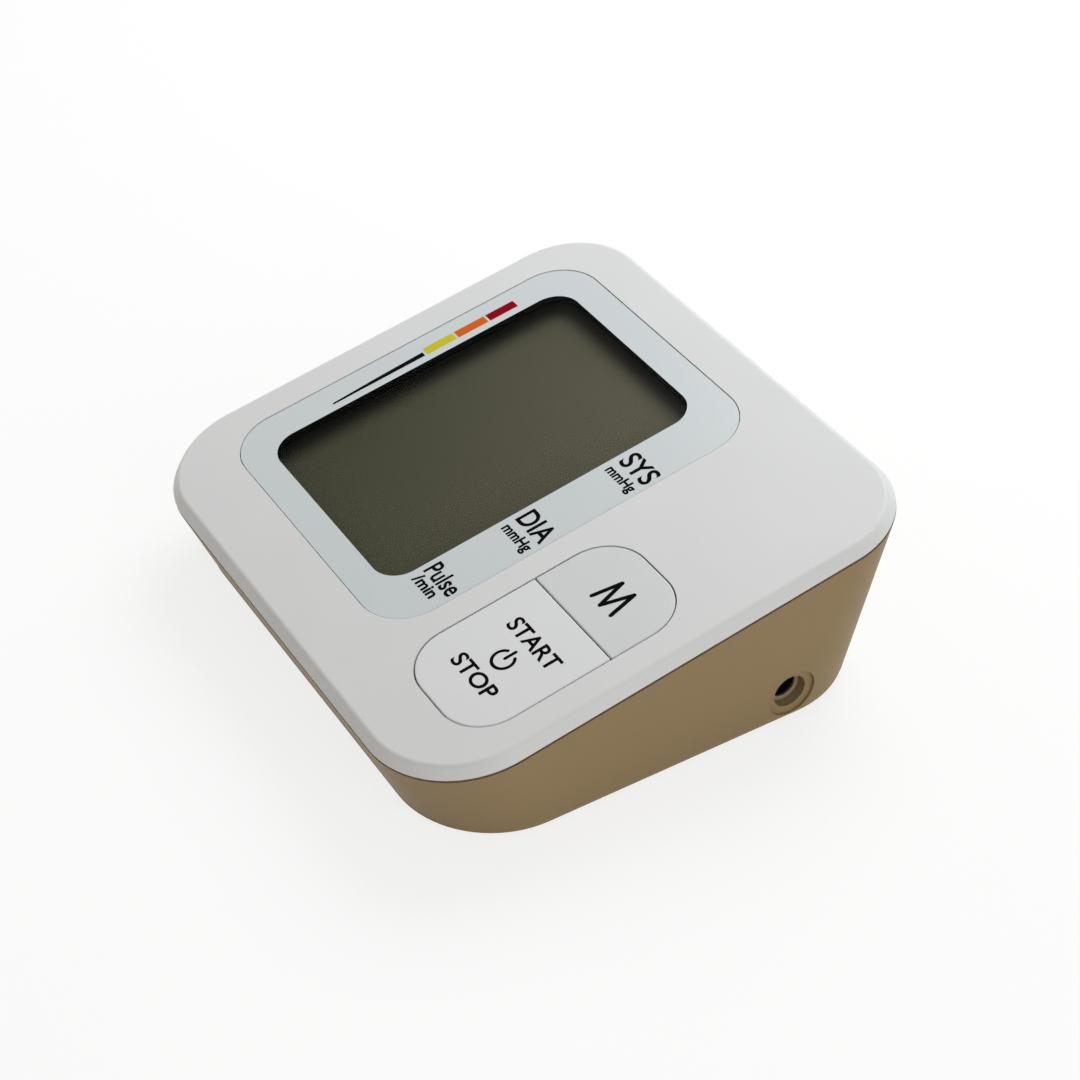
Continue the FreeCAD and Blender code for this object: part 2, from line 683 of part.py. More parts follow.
def make_key(name):
    """Key cap: it fills its part of the opening, and a lip under the cover keeps it in."""
    depth, y, near, far, side = KEYS[name]
    body = new_body(f"{name}_key", on_panel=True)
    # the key gives half of the slit between the two keys
    middle = f"{y} {side} key_gap / 4"
    cap_depth = f"({depth} - key_gap / 2)"
    cap = new_sketch(body, f"{name}_cap", x=KEY_X, y=middle, z=f"-{LIP_FOOT}")
    soft_rectangle(cap, "key_width", cap_depth, near, far)
    pad(body, cap, LIP_FOOT)
    round_edges(body, f"{name}_cap_fillet", "0.8 * key_round", flat_at(0.0))
    near_lip, far_lip = ("key_lip", "0") if side == "-" else ("0", "key_lip")
    lip = new_sketch(body, f"{name}_lip", x=KEY_X, y=f"{middle} {side} key_lip / 2", z=f"-{LIP_FOOT}")
    soft_rectangle(lip, "key_width + 2 * key_lip", f"{cap_depth} + key_lip",
                   f"{near} + {near_lip}", f"{far} + {far_lip}")
    pad(body, lip, "key_lip_height")
    inside = new_sketch(body, f"{name}_inside", x=KEY_X, y=middle, z=f"-{LIP_FOOT}")
    hollow_near = "key_corner - key_wall" if side == "-" else "key_round"
    hollow_far = "key_round" if side == "-" else "key_corner - key_wall"
    soft_rectangle(inside, "key_width - 2 * key_wall", f"{cap_depth} - 2 * key_wall", hollow_near, hollow_far)
    pocket(body, inside, f"{LIP_FOOT} - key_skin", up=True)
    stem = new_sketch(body, f"{name}_stem", x=KEY_X, y=y, z="-key_skin")
    circle(stem, "plunger_radius + key_wall")
    pad(body, stem, f"{LIP_FOOT} + 0.2 - key_skin", down=True)
    return body


def make_switch(name):
    """Switch housing, open at the top for its plunger."""
    y = KEYS[name][1]
    body = new_body(f"{name}_switch", on_panel=True)
    block = new_sketch(body, f"{name}_housing", x=KEY_X, y=y, z="-board_depth")
    rectangle(block, "switch_size", "switch_size")
    pad(body, block, "switch_height")
    well = new_sketch(body, f"{name}_well", x=KEY_X, y=y, z=f"-{SWITCH_TOP}")
    circle(well, "plunger_radius + plunger_gap")
    pocket(body, well, "switch_height - 0.5")
    return body


def make_plunger(name):
    y = KEYS[name][1]
    body = new_body(f"{name}_plunger", on_panel=True)
    pin = new_sketch(body, f"{name}_pin", x=KEY_X, y=y, z=f"-({LIP_FOOT} + 0.2)")
    circle(pin, "plunger_radius")
    pad(body, pin, f"board_depth - 0.5 - key_travel - 0.2 - ({LIP_FOOT} + 0.2)", down=True)
    return body


# ---------------------------------------------------------------- main board
def make_main_board():
    body = new_body("main_board", on_panel=True)
    plate = new_sketch(body, "board_plate", y=f"({BOARD_FRONT} + {BOARD_REAR}) / 2", z=f"-{BOARD_FACE}")
    soft_rectangle(plate, BOARD_WIDTH, "board_length", "board_corner")
    pad(body, plate, "board_thickness")
    holes = new_sketch(body, "board_holes", z="-board_depth")
    for x, y in board_screw_places():
        circle(holes, "board_screw_radius + screw_hole_slack", x, y)
    pocket(body, holes, "2 * board_thickness")
    return body


def make_screw(name, x, y, seat, radius, reach, head_radius, head_height):
    """Pan-head screw seen from below: the head's top face lies on the seat, the shank goes up."""
    body = new_body(name, on_panel=True)
    profile = new_sketch(body, f"{name}_profile", "XZ_Plane", x=x, y=f"-({seat})", z=f"-({y})")
    outline(profile, [("0", f"-{head_height}"), (head_radius, f"-{head_height}"), (head_radius, "0"),
                      (radius, "0"), (radius, reach), ("0", reach)])
    turn(body, profile)
    return body


def make_case_screws():
    seat = "boss_split + boss_seat"
    return group("case_screws", [
        make_screw(f"case_screw_{i}", x, y, seat, "case_screw_radius", "boss_seat + case_screw_reach",
                   "case_screw_head_radius", "case_screw_head_height")
        for i, (x, y) in enumerate(case_screw_places())])


def make_board_screws():
    return group("board_screws", [
        make_screw(f"board_screw_{i}", x, y, BOARD_FACE, "board_screw_radius",
                   "board_thickness + board_screw_reach", "board_screw_head_radius",
                   "board_screw_head_height")
        for i, (x, y) in enumerate(board_screw_places())])


# ---------------------------------------------------------------- bottom case
def foot_places():
    rows = (("front", "foot_front_inset - case_depth / 2"), ("rear", "case_depth / 2 - foot_rear_inset"))
    return [(f"{side}(case_width / 2 - foot_{row}_side)", y) for row, y in rows for side in ("-", "")]


def case_section(body, name, inset, height):
    """Outline of the case's foot at one height."""
    sketch = new_sketch(body, name, y=f"({BASE_FRONT} + {BASE_REAR}) / 2", z=height)
    soft_rectangle(sketch, f"{BASE_WIDTH} - 2 * {inset}", f"{BASE_REAR} - {BASE_FRONT} - 2 * {inset}",
                   f"base_front_corner - {inset}", f"base_rear_corner - {inset}")
    return sketch


def rim_section(body, name, inset):
    """Outline of the case's rim, in the rim's sloping plane."""
    sketch = new_sketch(body, name, y=RIM_Y, z=RIM_Z, lean="slope")
    soft_rectangle(sketch, f"case_width - 2 * ({inset})", f"case_depth - 2 * ({inset})",
                   f"front_corner - ({inset})", f"rear_corner - ({inset})")
    return sketch


def add_rounded_foot(body):
    """Rounded lower edge, built as three rings, each turned 30 degrees further up."""
    for i in range(3):
        ends = []
        for name, angle in (("low", 30 * i), ("high", 30 * (i + 1))):
            inset = f"(base_round * (1 - sin({angle})))"
            height = f"(foot_height + base_round * (1 - cos({angle})))"
            ends.append(case_section(body, f"foot_ring_{i}_{name}", inset, height))
        loft(body, *ends)


def make_bottom_case():
    body = new_body("bottom_case")
    add_rounded_foot(body)
    loft(body, case_section(body, "case_foot", "0", WALL_FOOT), rim_section(body, "case_rim", "0"))
    loft(body, case_section(body, "case_floor", "case_wall", FLOOR_TOP),
         rim_section(body, "case_mouth", "case_wall"), cut=True)
    pocket(body, rim_section(body, "tongue_rebate", "tongue_inset - tongue_clearance"), "tongue_drop - seam")
    add_screw_bosses(body)
    add_battery_bay(body)
    add_pump_cradle(body)
    add_inlet_seat(body)
    add_air_socket_seat(body)
    for i, (x, y) in enumerate(foot_places()):
        recess = new_sketch(body, f"foot_recess_{i}", x=x, y=y, z="foot_height")
        circle(recess, "foot_radius + screw_slack")
        pocket(body, recess, "foot_sink", up=True)
    return body


def add_screw_bosses(body):
    """Posts square to the sloping rim, so that the screws pull the two halves straight together."""
    top_y, top_z = panel_point("0", "-boss_split")
    seat_y, seat_z = panel_point("0", "-(boss_split + boss_seat)")
    for row, (x, y) in CASE_SCREWS.items():
        drop = f"(({PANEL_HEIGHT} + {y} * sin(slope) - {FLOOR_TOP}) / cos(slope) - boss_split)"
        posts = new_sketch(body, f"case_bosses_{row}", y=top_y, z=top_z, lean="slope")
        for side in ("-", ""):
            circle(posts, "case_boss_radius", f"{side}{x}", y)
        pad(body, posts, f"{drop} + 0.6 * floor_thickness", down=True)
    holes = new_sketch(body, "case_screw_holes", y=top_y, z=top_z, lean="slope")
    heads = new_sketch(body, "case_screw_wells", y=seat_y, z=seat_z, lean="slope")
    for x, y in case_screw_places():
        circle(holes, "case_screw_radius + screw_hole_slack", x, y)
        circle(heads, "case_screw_head_radius + screw_head_slack", x, y)
    pocket(body, holes, "2 * boss_seat")
    pocket(body, heads, f"2 * {PANEL_HEIGHT}")


def add_battery_bay(body):
    """Roofed bay over the cells, open below, with a rebate for the door."""
    shell = new_sketch(body, "bay_shell", x=BAY_X, y=BAY_MIDDLE, z="foot_height")
    soft_rectangle(shell, f"{BAY_WIDTH} + 2 * bay_wall", f"{BAY_DEPTH} + 2 * bay_wall", "bay_wall")
    pad(body, shell, f"{BAY_ROOF} + bay_ceiling - foot_height")
    # pocket for the door's latch, behind the bay
    notch_depth = "(2 * latch_wall + 2 * latch_bend + latch_room)"
    latch_box = new_sketch(body, "latch_box", x=BAY_X, y=f"{BAY_REAR} + ({notch_depth} + bay_wall) / 2",
                           z="foot_height")
    rectangle(latch_box, "latch_width + 2 * latch_slack + 2 * bay_wall", f"{notch_depth} + bay_wall")
    pad(body, latch_box, "latch_height + latch_bend + latch_wall + latch_slack + bay_wall")
    inside = new_sketch(body, "bay_inside", x=BAY_X, y=BAY_MIDDLE, z="foot_height")
    soft_rectangle(inside, BAY_WIDTH, BAY_DEPTH, "0.5")
    pocket(body, inside, f"{BAY_ROOF} - foot_height", up=True)
    notch = new_sketch(body, "latch_notch", x=BAY_X, y=f"{BAY_REAR} + {notch_depth} / 2 - 0.5",
                       z="foot_height")
    rectangle(notch, "latch_width + 2 * latch_slack", f"{notch_depth} + 1.0")
    pocket(body, notch, "latch_height + latch_bend + latch_wall + latch_slack", up=True)
    rebate = new_sketch(body, "door_rebate", x=BAY_X, y=BAY_MIDDLE, z="foot_height")
    soft_rectangle(rebate, f"{DOOR_WIDTH} + 2 * door_gap", f"{DOOR_DEPTH} + 2 * door_gap",
                   "door_corner + door_gap")
    pocket(body, rebate, "door_thickness", up=True)
    # slots in the front wall of the bay for the door's hooks
    hook_way = "hook_width + 2 * latch_slack"
    for i, x in enumerate(hook_places()):
        slot = new_sketch(body, f"hook_slot_{i}", x=x, y=f"{BAY_FRONT} - (door_ledge + hook_reach) / 2",
                          z=FLOOR_TOP)
        rectangle(slot, hook_way, "hook_reach + door_ledge + 1.0")
        pocket(body, slot, "hook_slot_height", up=True)
        notch = new_sketch(body, f"hook_notch_{i}", x=x, y=f"{BAY_FRONT} - door_ledge / 2", z=DOOR_TOP)
        rectangle(notch, hook_way, "door_ledge")
        pocket(body, notch, "hook_slot_height", up=True)
    # fins under the roof keep the cells apart
    for i in range(3):
        fin = new_sketch(body, f"cell_fin_{i}", x=f"{BAY_X} + ({i} - 1) * {CELL_PITCH}", y=BAY_MIDDLE,
                         z=BAY_ROOF)
        rectangle(fin, "fin_width", f"{BAY_DEPTH} - 4 * spring_length")
        pad(body, fin, "fin_height", down=True)


def hook_places():
    return [f"({BAY_X} - {CELL_PITCH})", f"({BAY_X} + {CELL_PITCH})"]


def add_pump_cradle(body):
    """Two ribs beside the pump head, and two beside the release valve."""
    for i, side in enumerate(("-", "+")):
        rib = new_sketch(body, f"pump_rib_{i}",
                         x=f"{PUMP_X} {side} (pump_head_width / 2 + cradle_gap + cradle_rib / 2)",
                         y=f"{PUMP_FRONT} + pump_head_length / 2", z=FLOOR_TOP)
        rectangle(rib, "cradle_rib", "0.7 * pump_head_length")
        pad(body, rib, "cradle_height")
    for i, side in enumerate(("-", "+")):
        rib = new_sketch(body, f"valve_rib_{i}",
                         x=f"{JUNCTION_X} {side} (valve_size / 2 + cradle_gap + cradle_rib / 2)",
                         y=f"{VALVE_FRONT} + valve_size / 2", z=FLOOR_TOP)
        rectangle(rib, "cradle_rib", "0.7 * valve_size")
        pad(body, rib, "cradle_height")


def add_inlet_seat(body):
    """Dished hole in the right wall, with a collar and two ribs that hold the power inlet behind it."""
    for i, side in enumerate(("-", "+")):
        rib = new_sketch(body, f"inlet_rib_{i}",
                         x=f"{WALL_X} - (case_wall + inlet_body_length) / 2",
                         y=f"{INLET_Y} {side} (inlet_body_width / 2 + 2 * inlet_gap + inlet_rib / 2)",
                         z=FLOOR_TOP)
        rectangle(rib, "inlet_body_length", "inlet_rib")
        pad(body, rib, "inlet_body_height")
    collar = new_sketch(body, "inlet_collar", "YZ_Plane", x=INLET_Y, y=INLET_Z,
                        z=f"{INLET_FRONT} + inlet_gap")
    circle(collar, "inlet_hole_radius + inlet_rib")
    pad(body, collar, "inlet_snout_length + inlet_face_depth - case_wall / 2")
    dish = new_sketch(body, "inlet_dish", "YZ_Plane", x=INLET_Y, y=INLET_Z,
                      z=f"{INLET_WALL} - inlet_dish_depth")
    circle(dish, "inlet_dish_radius")
    pocket(body, dish, "5.0", up=True)
    hole = new_sketch(body, "inlet_hole", "YZ_Plane", x=INLET_Y, y=INLET_Z, z=INLET_FRONT)
    circle(hole, "inlet_hole_radius")
    pocket(body, hole, "8.0", up=True)


def add_air_socket_seat(body):
    """Dished hole in the left wall for the air socket."""
    dish = new_sketch(body, "air_dish", "YZ_Plane", x=AIR_Y, y=AIR_Z, z=f"-({AIR_WALL} - air_dish_depth)")
    circle(dish, "air_dish_radius")
    pocket(body, dish, "5.0")
    hole = new_sketch(body, "air_hole", "YZ_Plane", x=AIR_Y, y=AIR_Z, z=f"-({AIR_WALL} - case_wall - 0.6)")
    circle(hole, "air_socket_radius + air_socket_slack")
    pocket(body, hole, "8.0")


def make_feet():
    pads = []
    for i, (x, y) in enumerate(foot_places()):
        body = new_body(f"rubber_foot_{i}")
        profile = new_sketch(body, f"foot_profile_{i}", "XZ_Plane", x=x, z=f"-({y})")
        outline(profile, [("0", "0"), ("foot_radius - 0.4 * foot_height", "0"),
                          ("foot_radius", "0.6 * foot_height"), ("foot_radius", "foot_height + foot_sink"),
                          ("0", "foot_height + foot_sink")])
        turn(body, profile)
        pads.append(body)
    return group("rubber_feet", pads)


# ---------------------------------------------------------------- battery door, cells and contacts
def make_battery_door():
    body = new_body("battery_door")
    plate = new_sketch(body, "door_plate", x=BAY_X, y=BAY_MIDDLE, z="foot_height")
    soft_rectangle(plate, DOOR_WIDTH, DOOR_DEPTH, "door_corner")
    pad(body, plate, "door_thickness")
    # ribs with a saddle for each cell
    for i, side in enumerate(("-", "+")):
        rib = new_sketch(body, f"door_rib_{i}", x=BAY_X, y=f"{BAY_MIDDLE} {side} door_rib_spacing / 2",
                         z=DOOR_TOP)
        rectangle(rib, f"{BAY_WIDTH} - 4 * door_gap", "door_rib_width")
        pad(body, rib, "door_rib_height")
    saddles = new_sketch(body, "door_saddles", "XZ_Plane", y=CELL_Z, z=f"-({BAY_REAR})")
    for i in range(4):
        circle(saddles, "cell_radius + cell_lift", cell_x(i), "0")
    pocket(body, saddles, BAY_DEPTH, up=True)
    # hooks at the front edge
    for i, x in enumerate(hook_places()):
        hook = new_sketch(body, f"door_hook_{i}", "YZ_Plane",
                          x=f"{BAY_MIDDLE} - {DOOR_DEPTH} / 2", y=DOOR_TOP, z=f"{x} - hook_width / 2")
        top = "(floor_thickness - door_thickness + 0.2 + hook_thickness)"
        outline(hook, [("0", "-0.5 * door_thickness"), ("hook_root", "-0.5 * door_thickness"),
                       ("hook_root", top), ("-hook_reach", top),
                       ("-hook_reach", f"{top} - hook_thickness"), ("0", f"{top} - hook_thickness")])
        pad(body, hook, "hook_width")
    # spring latch at the rear edge: up, over and down again
    edge = f"({BAY_MIDDLE} + {DOOR_DEPTH} / 2)"
    latch = new_sketch(body, "door_latch", "YZ_Plane", x=edge, y="foot_height",
                       z=f"{BAY_X} - latch_width / 2")
    gap = "(2 * latch_bend)"
    top = "latch_height + latch_wall"
    outline(latch, [("-latch_wall", "0.5 * door_thickness"), ("0", "0.5 * door_thickness"),
                    ("0", "latch_height"), (gap, "latch_height"), (gap, "0.4"),
                    (f"{gap} + latch_wall", "0.4"), (f"{gap} + latch_wall", top), ("-latch_wall", top)])
    pad(body, latch, "latch_width")
    return body


def cell_x(i):
    return f"({BAY_X} + ({i} - 1.5) * {CELL_PITCH})"


def make_cell(i):
    """AA cell; its positive end points to the rear when i is even."""
    body = new_body(f"battery_cell_{i + 1}")
    # the spring presses on the flat end, the dimple on the nub
    forward = i % 2 == 1
    near = "(contact_thickness + dimple_height)" if forward else "(contact_thickness + spring_length)"
    profile = new_sketch(body, f"cell_profile_{i}", "XY_Plane", x=cell_x(i), y=f"{BAY_FRONT} + {near}",
                         z=CELL_Z)
    long, nub, r = "cell_length", "cell_nub_height", "cell_radius"
    flat, step = ("cell_length - cell_nub_height", "cell_nub_radius")
    points = [("0", "0"), (f"{r} - cell_round", "0"), (r, "cell_round"), (r, f"{flat} - cell_round"),
              (f"{r} - cell_round", flat), (step, flat), (step, long), ("0", long)]
    if forward:
        points = [(x, f"{long} - ({y})") for x, y in points]
    outline(profile, points)
    turn(body, profile)
    return body


def make_contacts():
    """Contact plates at both ends of the bay: each joins two neighbours, or ends the chain."""
    plates = []
    runs = (("front", (0, 1)), ("front", (2, 3)), ("rear", (0,)), ("rear", (1, 2)), ("rear", (3,)))
    for n, (end, cells) in enumerate(runs):
        body = new_body(f"battery_contact_{n}")
        first, last = cells[0], cells[-1]
        middle = f"(({cell_x(first)} + {cell_x(last)}) / 2)"
        across = f"(contact_width + {last - first} * {CELL_PITCH})"
        wall = BAY_FRONT if end == "front" else f"({BAY_REAR} - contact_thickness)"
        plate = new_sketch(body, f"contact_plate_{n}", "XZ_Plane", x=middle, y=CELL_Z, z=f"-({wall})")
        soft_rectangle(plate, across, "contact_height", "1.0")
        pad(body, plate, "contact_thickness", down=True)
        for i in cells:
            takes_nub = (i % 2 == 0) == (end == "rear")
            if takes_nub:
                face = f"({BAY_FRONT} + contact_thickness)" if end == "front" else wall
                dimple = new_sketch(body, f"contact_dimple_{n}_{i}", "XZ_Plane", x=cell_x(i), y=CELL_Z,
                                    z=f"-({face})")
                circle(dimple, "dimple_radius")
                pad(body, dimple, "dimple_height", down=(end == "front"))
        plates.append(body)
    return group("battery_contacts", plates)


def make_springs():
    """Conical springs that press on the flat end of each cell."""
    springs = []
    for i in range(4):
        body = new_body(f"battery_spring_{i}")
        at_front = i % 2 == 0
        face = f"({BAY_FRONT} + contact_thickness)" if at_front else f"({BAY_REAR} - contact_thickness)"
        wire = new_sketch(body, f"spring_wire_{i}", "XY_Plane", x=cell_x(i), y=face, z=CELL_Z)
        low, high = ("0", "spring_wire") if at_front else ("-spring_wire", "0")
        near, far = "spring_radius - spring_wire / 2", "spring_radius + spring_wire / 2"
        outline(wire, [(near, low), (far, low), (far, high), (near, high)])
        feature(body, "PartDesign::AdditiveHelix", f"spring_coil_{i}", True, Profile=wire,
                ReferenceAxis=(wire, ["V_Axis"]), Mode="height-turns-angle", Reversed=not at_front,
                expressions={"Height": "spring_length - spring_wire", "Turns": "spring_turns",
                             "Angle": "-spring_taper"})
        springs.append(body)
    return group("battery_springs", springs)


# ---------------------------------------------------------------- power inlet
def make_power_inlet():
    """Square body with a round snout that enters the collar behind the wall's hole."""
    body = new_body("power_inlet")
    block = new_sketch(body, "inlet_block", "YZ_Plane", x=INLET_Y, y=INLET_Z,
                       z=f"{INLET_FRONT} - inlet_body_length")
    rectangle(block, "inlet_body_width", "inlet_body_height")
    pad(body, block, "inlet_body_length")
    snout = new_sketch(body, "inlet_snout", "YZ_Plane", x=INLET_Y, y=INLET_Z, z=INLET_FRONT)
    circle(snout, "inlet_snout_radius")
    pad(body, snout, "inlet_snout_length")
    bore = new_sketch(body, "inlet_bore", "YZ_Plane", x=INLET_Y, y=INLET_Z, z=INLET_FACE)
    circle(bore, "inlet_bore_radius")
    pocket(body, bore, "inlet_bore_depth")
    return body


def make_inlet_pin():
    body = new_body("power_inlet_pin")
    pin = new_sketch(body, "inlet_pin", "YZ_Plane", x=INLET_Y, y=INLET_Z,
                     z=f"{INLET_FACE} - inlet_bore_depth")
    circle(pin, "inlet_pin_radius")
    pad(body, pin, "inlet_pin_length")
    return body


# ---------------------------------------------------------------- air line
def make_air_socket():
    """Socket for the cuff's air plug, turned about its own axis."""
    body = new_body("air_socket")
    mouth = f"({AIR_WALL} - air_dish_depth)"
    total = "(air_socket_bore_depth + air_socket_back)"
    profile = new_sketch(body, "socket_profile", "XY_Plane", x=f"-({mouth})", y=AIR_Y, z=AIR_Z)
    behind = f"({AIR_WALL} - case_wall - 0.6)"
    flange = f"({mouth} - {behind})"
    end = f"({total} + barb_length)"
    outline(profile, [("0", "air_socket_bore_radius"), ("0", "air_socket_radius"),
                      (flange, "air_socket_radius"), (flange, "air_socket_flange_radius"),
                      (f"{flange} + air_socket_flange", "air_socket_flange_radius"),
                      (f"{flange} + air_socket_flange", "air_socket_radius"), (total, "air_socket_radius"),
                      (total, "barb_radius"), (end, "barb_radius"), (end, "barb_bore"),
                      ("air_socket_bore_depth", "barb_bore"),
                      ("air_socket_bore_depth", "air_socket_bore_radius")])
    feature(body, "PartDesign::Revolution", "socket_turn", True, Profile=profile,
            ReferenceAxis=(profile, ["H_Axis"]), Angle=360.0)
    return body


def make_air_junction():
    """Four-way fitting: socket, pump, valve and sensor."""
    body = new_body("air_junction")
    lines = (("x", "YZ_Plane", AIR_Y, f"{JUNCTION_X} - junction_arm"),
             ("y", "XZ_Plane", JUNCTION_X, f"-{AIR_Y} - junction_arm"))
    hub = new_sketch(body, "junction_hub", x=JUNCTION_X, y=AIR_Y, z=f"{AIR_Z} - junction_hub")
    circle(hub, "junction_hub")
    pad(body, hub, "2 * junction_hub")
    for name, plane, x, z in lines:
        arms = new_sketch(body, f"junction_arms_{name}", plane, x=x, y=AIR_Z, z=z)
        circle(arms, "barb_radius")
        pad(body, arms, "2 * junction_arm")
    for name, plane, x, z in lines:
        way = new_sketch(body, f"junction_way_{name}", plane, x=x, y=AIR_Z, z=z)
        circle(way, "barb_bore")
        pocket(body, way, "2 * junction_arm", up=True)
    return body


TUBES = {
    "socket_tube": ("x", f"{AIR_INNER_END} - 0.9 * barb_length", f"{JUNCTION_X} - junction_hub - 0.1"),
    "pump_tube": ("y", f"{AIR_Y} + junction_hub + 0.1", f"{PUMP_FRONT} - 0.3"),
    "valve_tube": ("y", f"{VALVE_FACE} + 0.3", f"{AIR_Y} - junction_hub - 0.1"),
    "sensor_tube": ("x", f"{JUNCTION_X} + junction_hub + 0.1", f"{SENSOR_FACE} - 0.3"),
}


def make_tube(name):
    """Straight silicone tube pushed over the barbs at its two ends."""
    axis, start, end = TUBES[name]
    body = new_body(name)
    if axis == "x":
        ring = new_sketch(body, f"{name}_ring", "YZ_Plane", x=AIR_Y, y=AIR_Z, z=f"({start})")
    else:
        ring = new_sketch(body, f"{name}_ring", "XZ_Plane", x=JUNCTION_X, y=AIR_Z, z=f"-({end})")
    circle(ring, TUBE_RADIUS)
    circle(ring, "barb_radius + tube_slack")
    pad(body, ring, f"({end}) - ({start})")
    return body


# ---------------------------------------------------------------- pump
PUMP_SPLIT = f"({PUMP_FRONT} + pump_head_length)"


def make_pump_head():
    body = new_body("pump_head")
    block = new_sketch(body, "head_block", "XZ_Plane", x=PUMP_X, y="pump_middle_height", z=f"-{PUMP_SPLIT}")
    soft_rectangle(block, "pump_head_width", "pump_head_height", "pump_head_corner")
    pad(body, block, "pump_head_length")
    room = new_sketch(body, "crank_room", "XZ_Plane", x=PUMP_X, y="pump_middle_height", z=f"-{PUMP_SPLIT}")
    circle(room, "crank_room_radius")
    pocket(body, room, "crank_room_length", up=True)
    nozzle = new_sketch(body, "pump_nozzle", "XZ_Plane", x=JUNCTION_X, y=AIR_Z, z=f"-{PUMP_FRONT}")
    circle(nozzle, "barb_radius")
    pad(body, nozzle, "barb_length")
    way = new_sketch(body, "pump_way", "XZ_Plane", x=JUNCTION_X, y=AIR_Z, z=f"barb_length - {PUMP_FRONT}")
    circle(way, "barb_bore")
    pocket(body, way, "barb_length + 3.0")
    return body


def make_pump_motor():
    body = new_body("pump_motor")
    can = new_sketch(body, "motor_can", "XZ_Plane", x=PUMP_X, y="pump_middle_height",
                     z=f"-({PUMP_SPLIT} + motor_length)")
    circle(can, "motor_radius")
    pad(body, can, "motor_length")
    for i, side in enumerate(("-", "+")):
        flat = new_sketch(body, f"motor_flat_{i}", "XZ_Plane", x=PUMP_X,
                          y=f"pump_middle_height {side} (motor_flat_height / 2 + motor_radius / 2)",
                          z=f"-({PUMP_SPLIT} + motor_length)")
        rectangle(flat, "3 * motor_radius", "motor_radius")
        pocket(body, flat, "motor_length", up=True)
    boss = new_sketch(body, "motor_boss", "XZ_Plane", x=PUMP_X, y="pump_middle_height",
                      z=f"-({PUMP_SPLIT} + motor_length)")
    circle(boss, "motor_boss_radius")
    pad(body, boss, "motor_boss_length", down=True)
    socket = new_sketch(body, "shaft_hole", "XZ_Plane", x=PUMP_X, y="pump_middle_height", z=f"-{PUMP_SPLIT}")
    circle(socket, "shaft_radius + 2 * screw_slack")
    pocket(body, socket, "0.5 * motor_length")
    return body


def make_pump_crank():
    """Motor shaft with the crank that rocks the diaphragm."""
    body = new_body("pump_crank")
    shaft = new_sketch(body, "crank_shaft", "XZ_Plane", x=PUMP_X, y="pump_middle_height",
                       z=f"-({PUMP_SPLIT} + 0.45 * motor_length)")
    circle(shaft, "shaft_radius")
    pad(body, shaft, "0.45 * motor_length + 1.0")
    disc = new_sketch(body, "crank_disc", "XZ_Plane", x=PUMP_X, y="pump_middle_height",
                      z=f"-({PUMP_SPLIT} - 1.0)")
    circle(disc, "crank_radius")
    pad(body, disc, "crank_length")
    pin = new_sketch(body, "crank_pin", "XZ_Plane", x=PUMP_X, y="pump_middle_height",
                     z=f"-({PUMP_SPLIT} - 1.0 - crank_length)")
    circle(pin, "crank_pin_radius", "crank_pin_offset", "0")
    pad(body, pin, "crank_pin_length")
    return body


def make_pump_pad():
    """Soft pad that carries the pump and keeps its hum out of the case."""
    body = new_body("pump_pad")
    foot = new_sketch(body, "pad_foot", x=PUMP_X, y=f"({PUMP_FRONT} + {PUMP_SPLIT} + motor_length) / 2",
                      z=FLOOR_TOP)
    rectangle(foot, "0.6 * pump_head_width", "0.8 * (pump_head_length + motor_length)")
    pad(body, foot, f"pump_middle_height - pump_head_height / 2 - {FLOOR_TOP}")
    step = new_sketch(body, "pad_step", x=PUMP_X, y=f"{PUMP_SPLIT} + 0.4 * motor_length + 0.5",
                      z="pump_middle_height - pump_head_height / 2")
    rectangle(step, "0.6 * pump_head_width", "0.7 * motor_length")
    pad(body, step, "(pump_head_height - motor_flat_height) / 2")
    return body


# ---------------------------------------------------------------- valve and sensor
def make_release_valve():
    body = new_body("release_valve")
    block = new_sketch(body, "valve_block", x=JUNCTION_X, y=f"{VALVE_FRONT} + valve_size / 2", z=FLOOR_TOP)
    soft_rectangle(block, "valve_size", "valve_size", "1.0")
    pad(body, block, "valve_size")
    nozzle = new_sketch(body, "valve_nozzle", "XZ_Plane", x=JUNCTION_X, y=AIR_Z, z=f"-{VALVE_FACE}")
    circle(nozzle, "barb_radius")
    pad(body, nozzle, VALVE_NOZZLE, down=True)
    way = new_sketch(body, "valve_way", "XZ_Plane", x=JUNCTION_X, y=AIR_Z,
                     z=f"-({VALVE_FACE} + {VALVE_NOZZLE})")
    circle(way, "barb_bore")
    pocket(body, way, "barb_length + 1.5", up=True)
    room = new_sketch(body, "valve_core_room", "XZ_Plane", x=JUNCTION_X,
                      y=f"{FLOOR_TOP} + valve_size / 2", z=f"-{VALVE_FRONT}")
    circle(room, "valve_core_radius + valve_core_room")
    pocket(body, room, "valve_core_length + valve_stroke")
    return body


def make_valve_core():
    """Iron core of the valve's coil; it slides forward to let the air out."""
    body = new_body("valve_core")
    core = new_sketch(body, "valve_core_bar", "XZ_Plane", x=JUNCTION_X,
                      y=f"{FLOOR_TOP} + valve_size / 2", z=f"-{VALVE_FRONT}")
    circle(core, "valve_core_radius")
    pad(body, core, "valve_core_length", down=True)
    return body


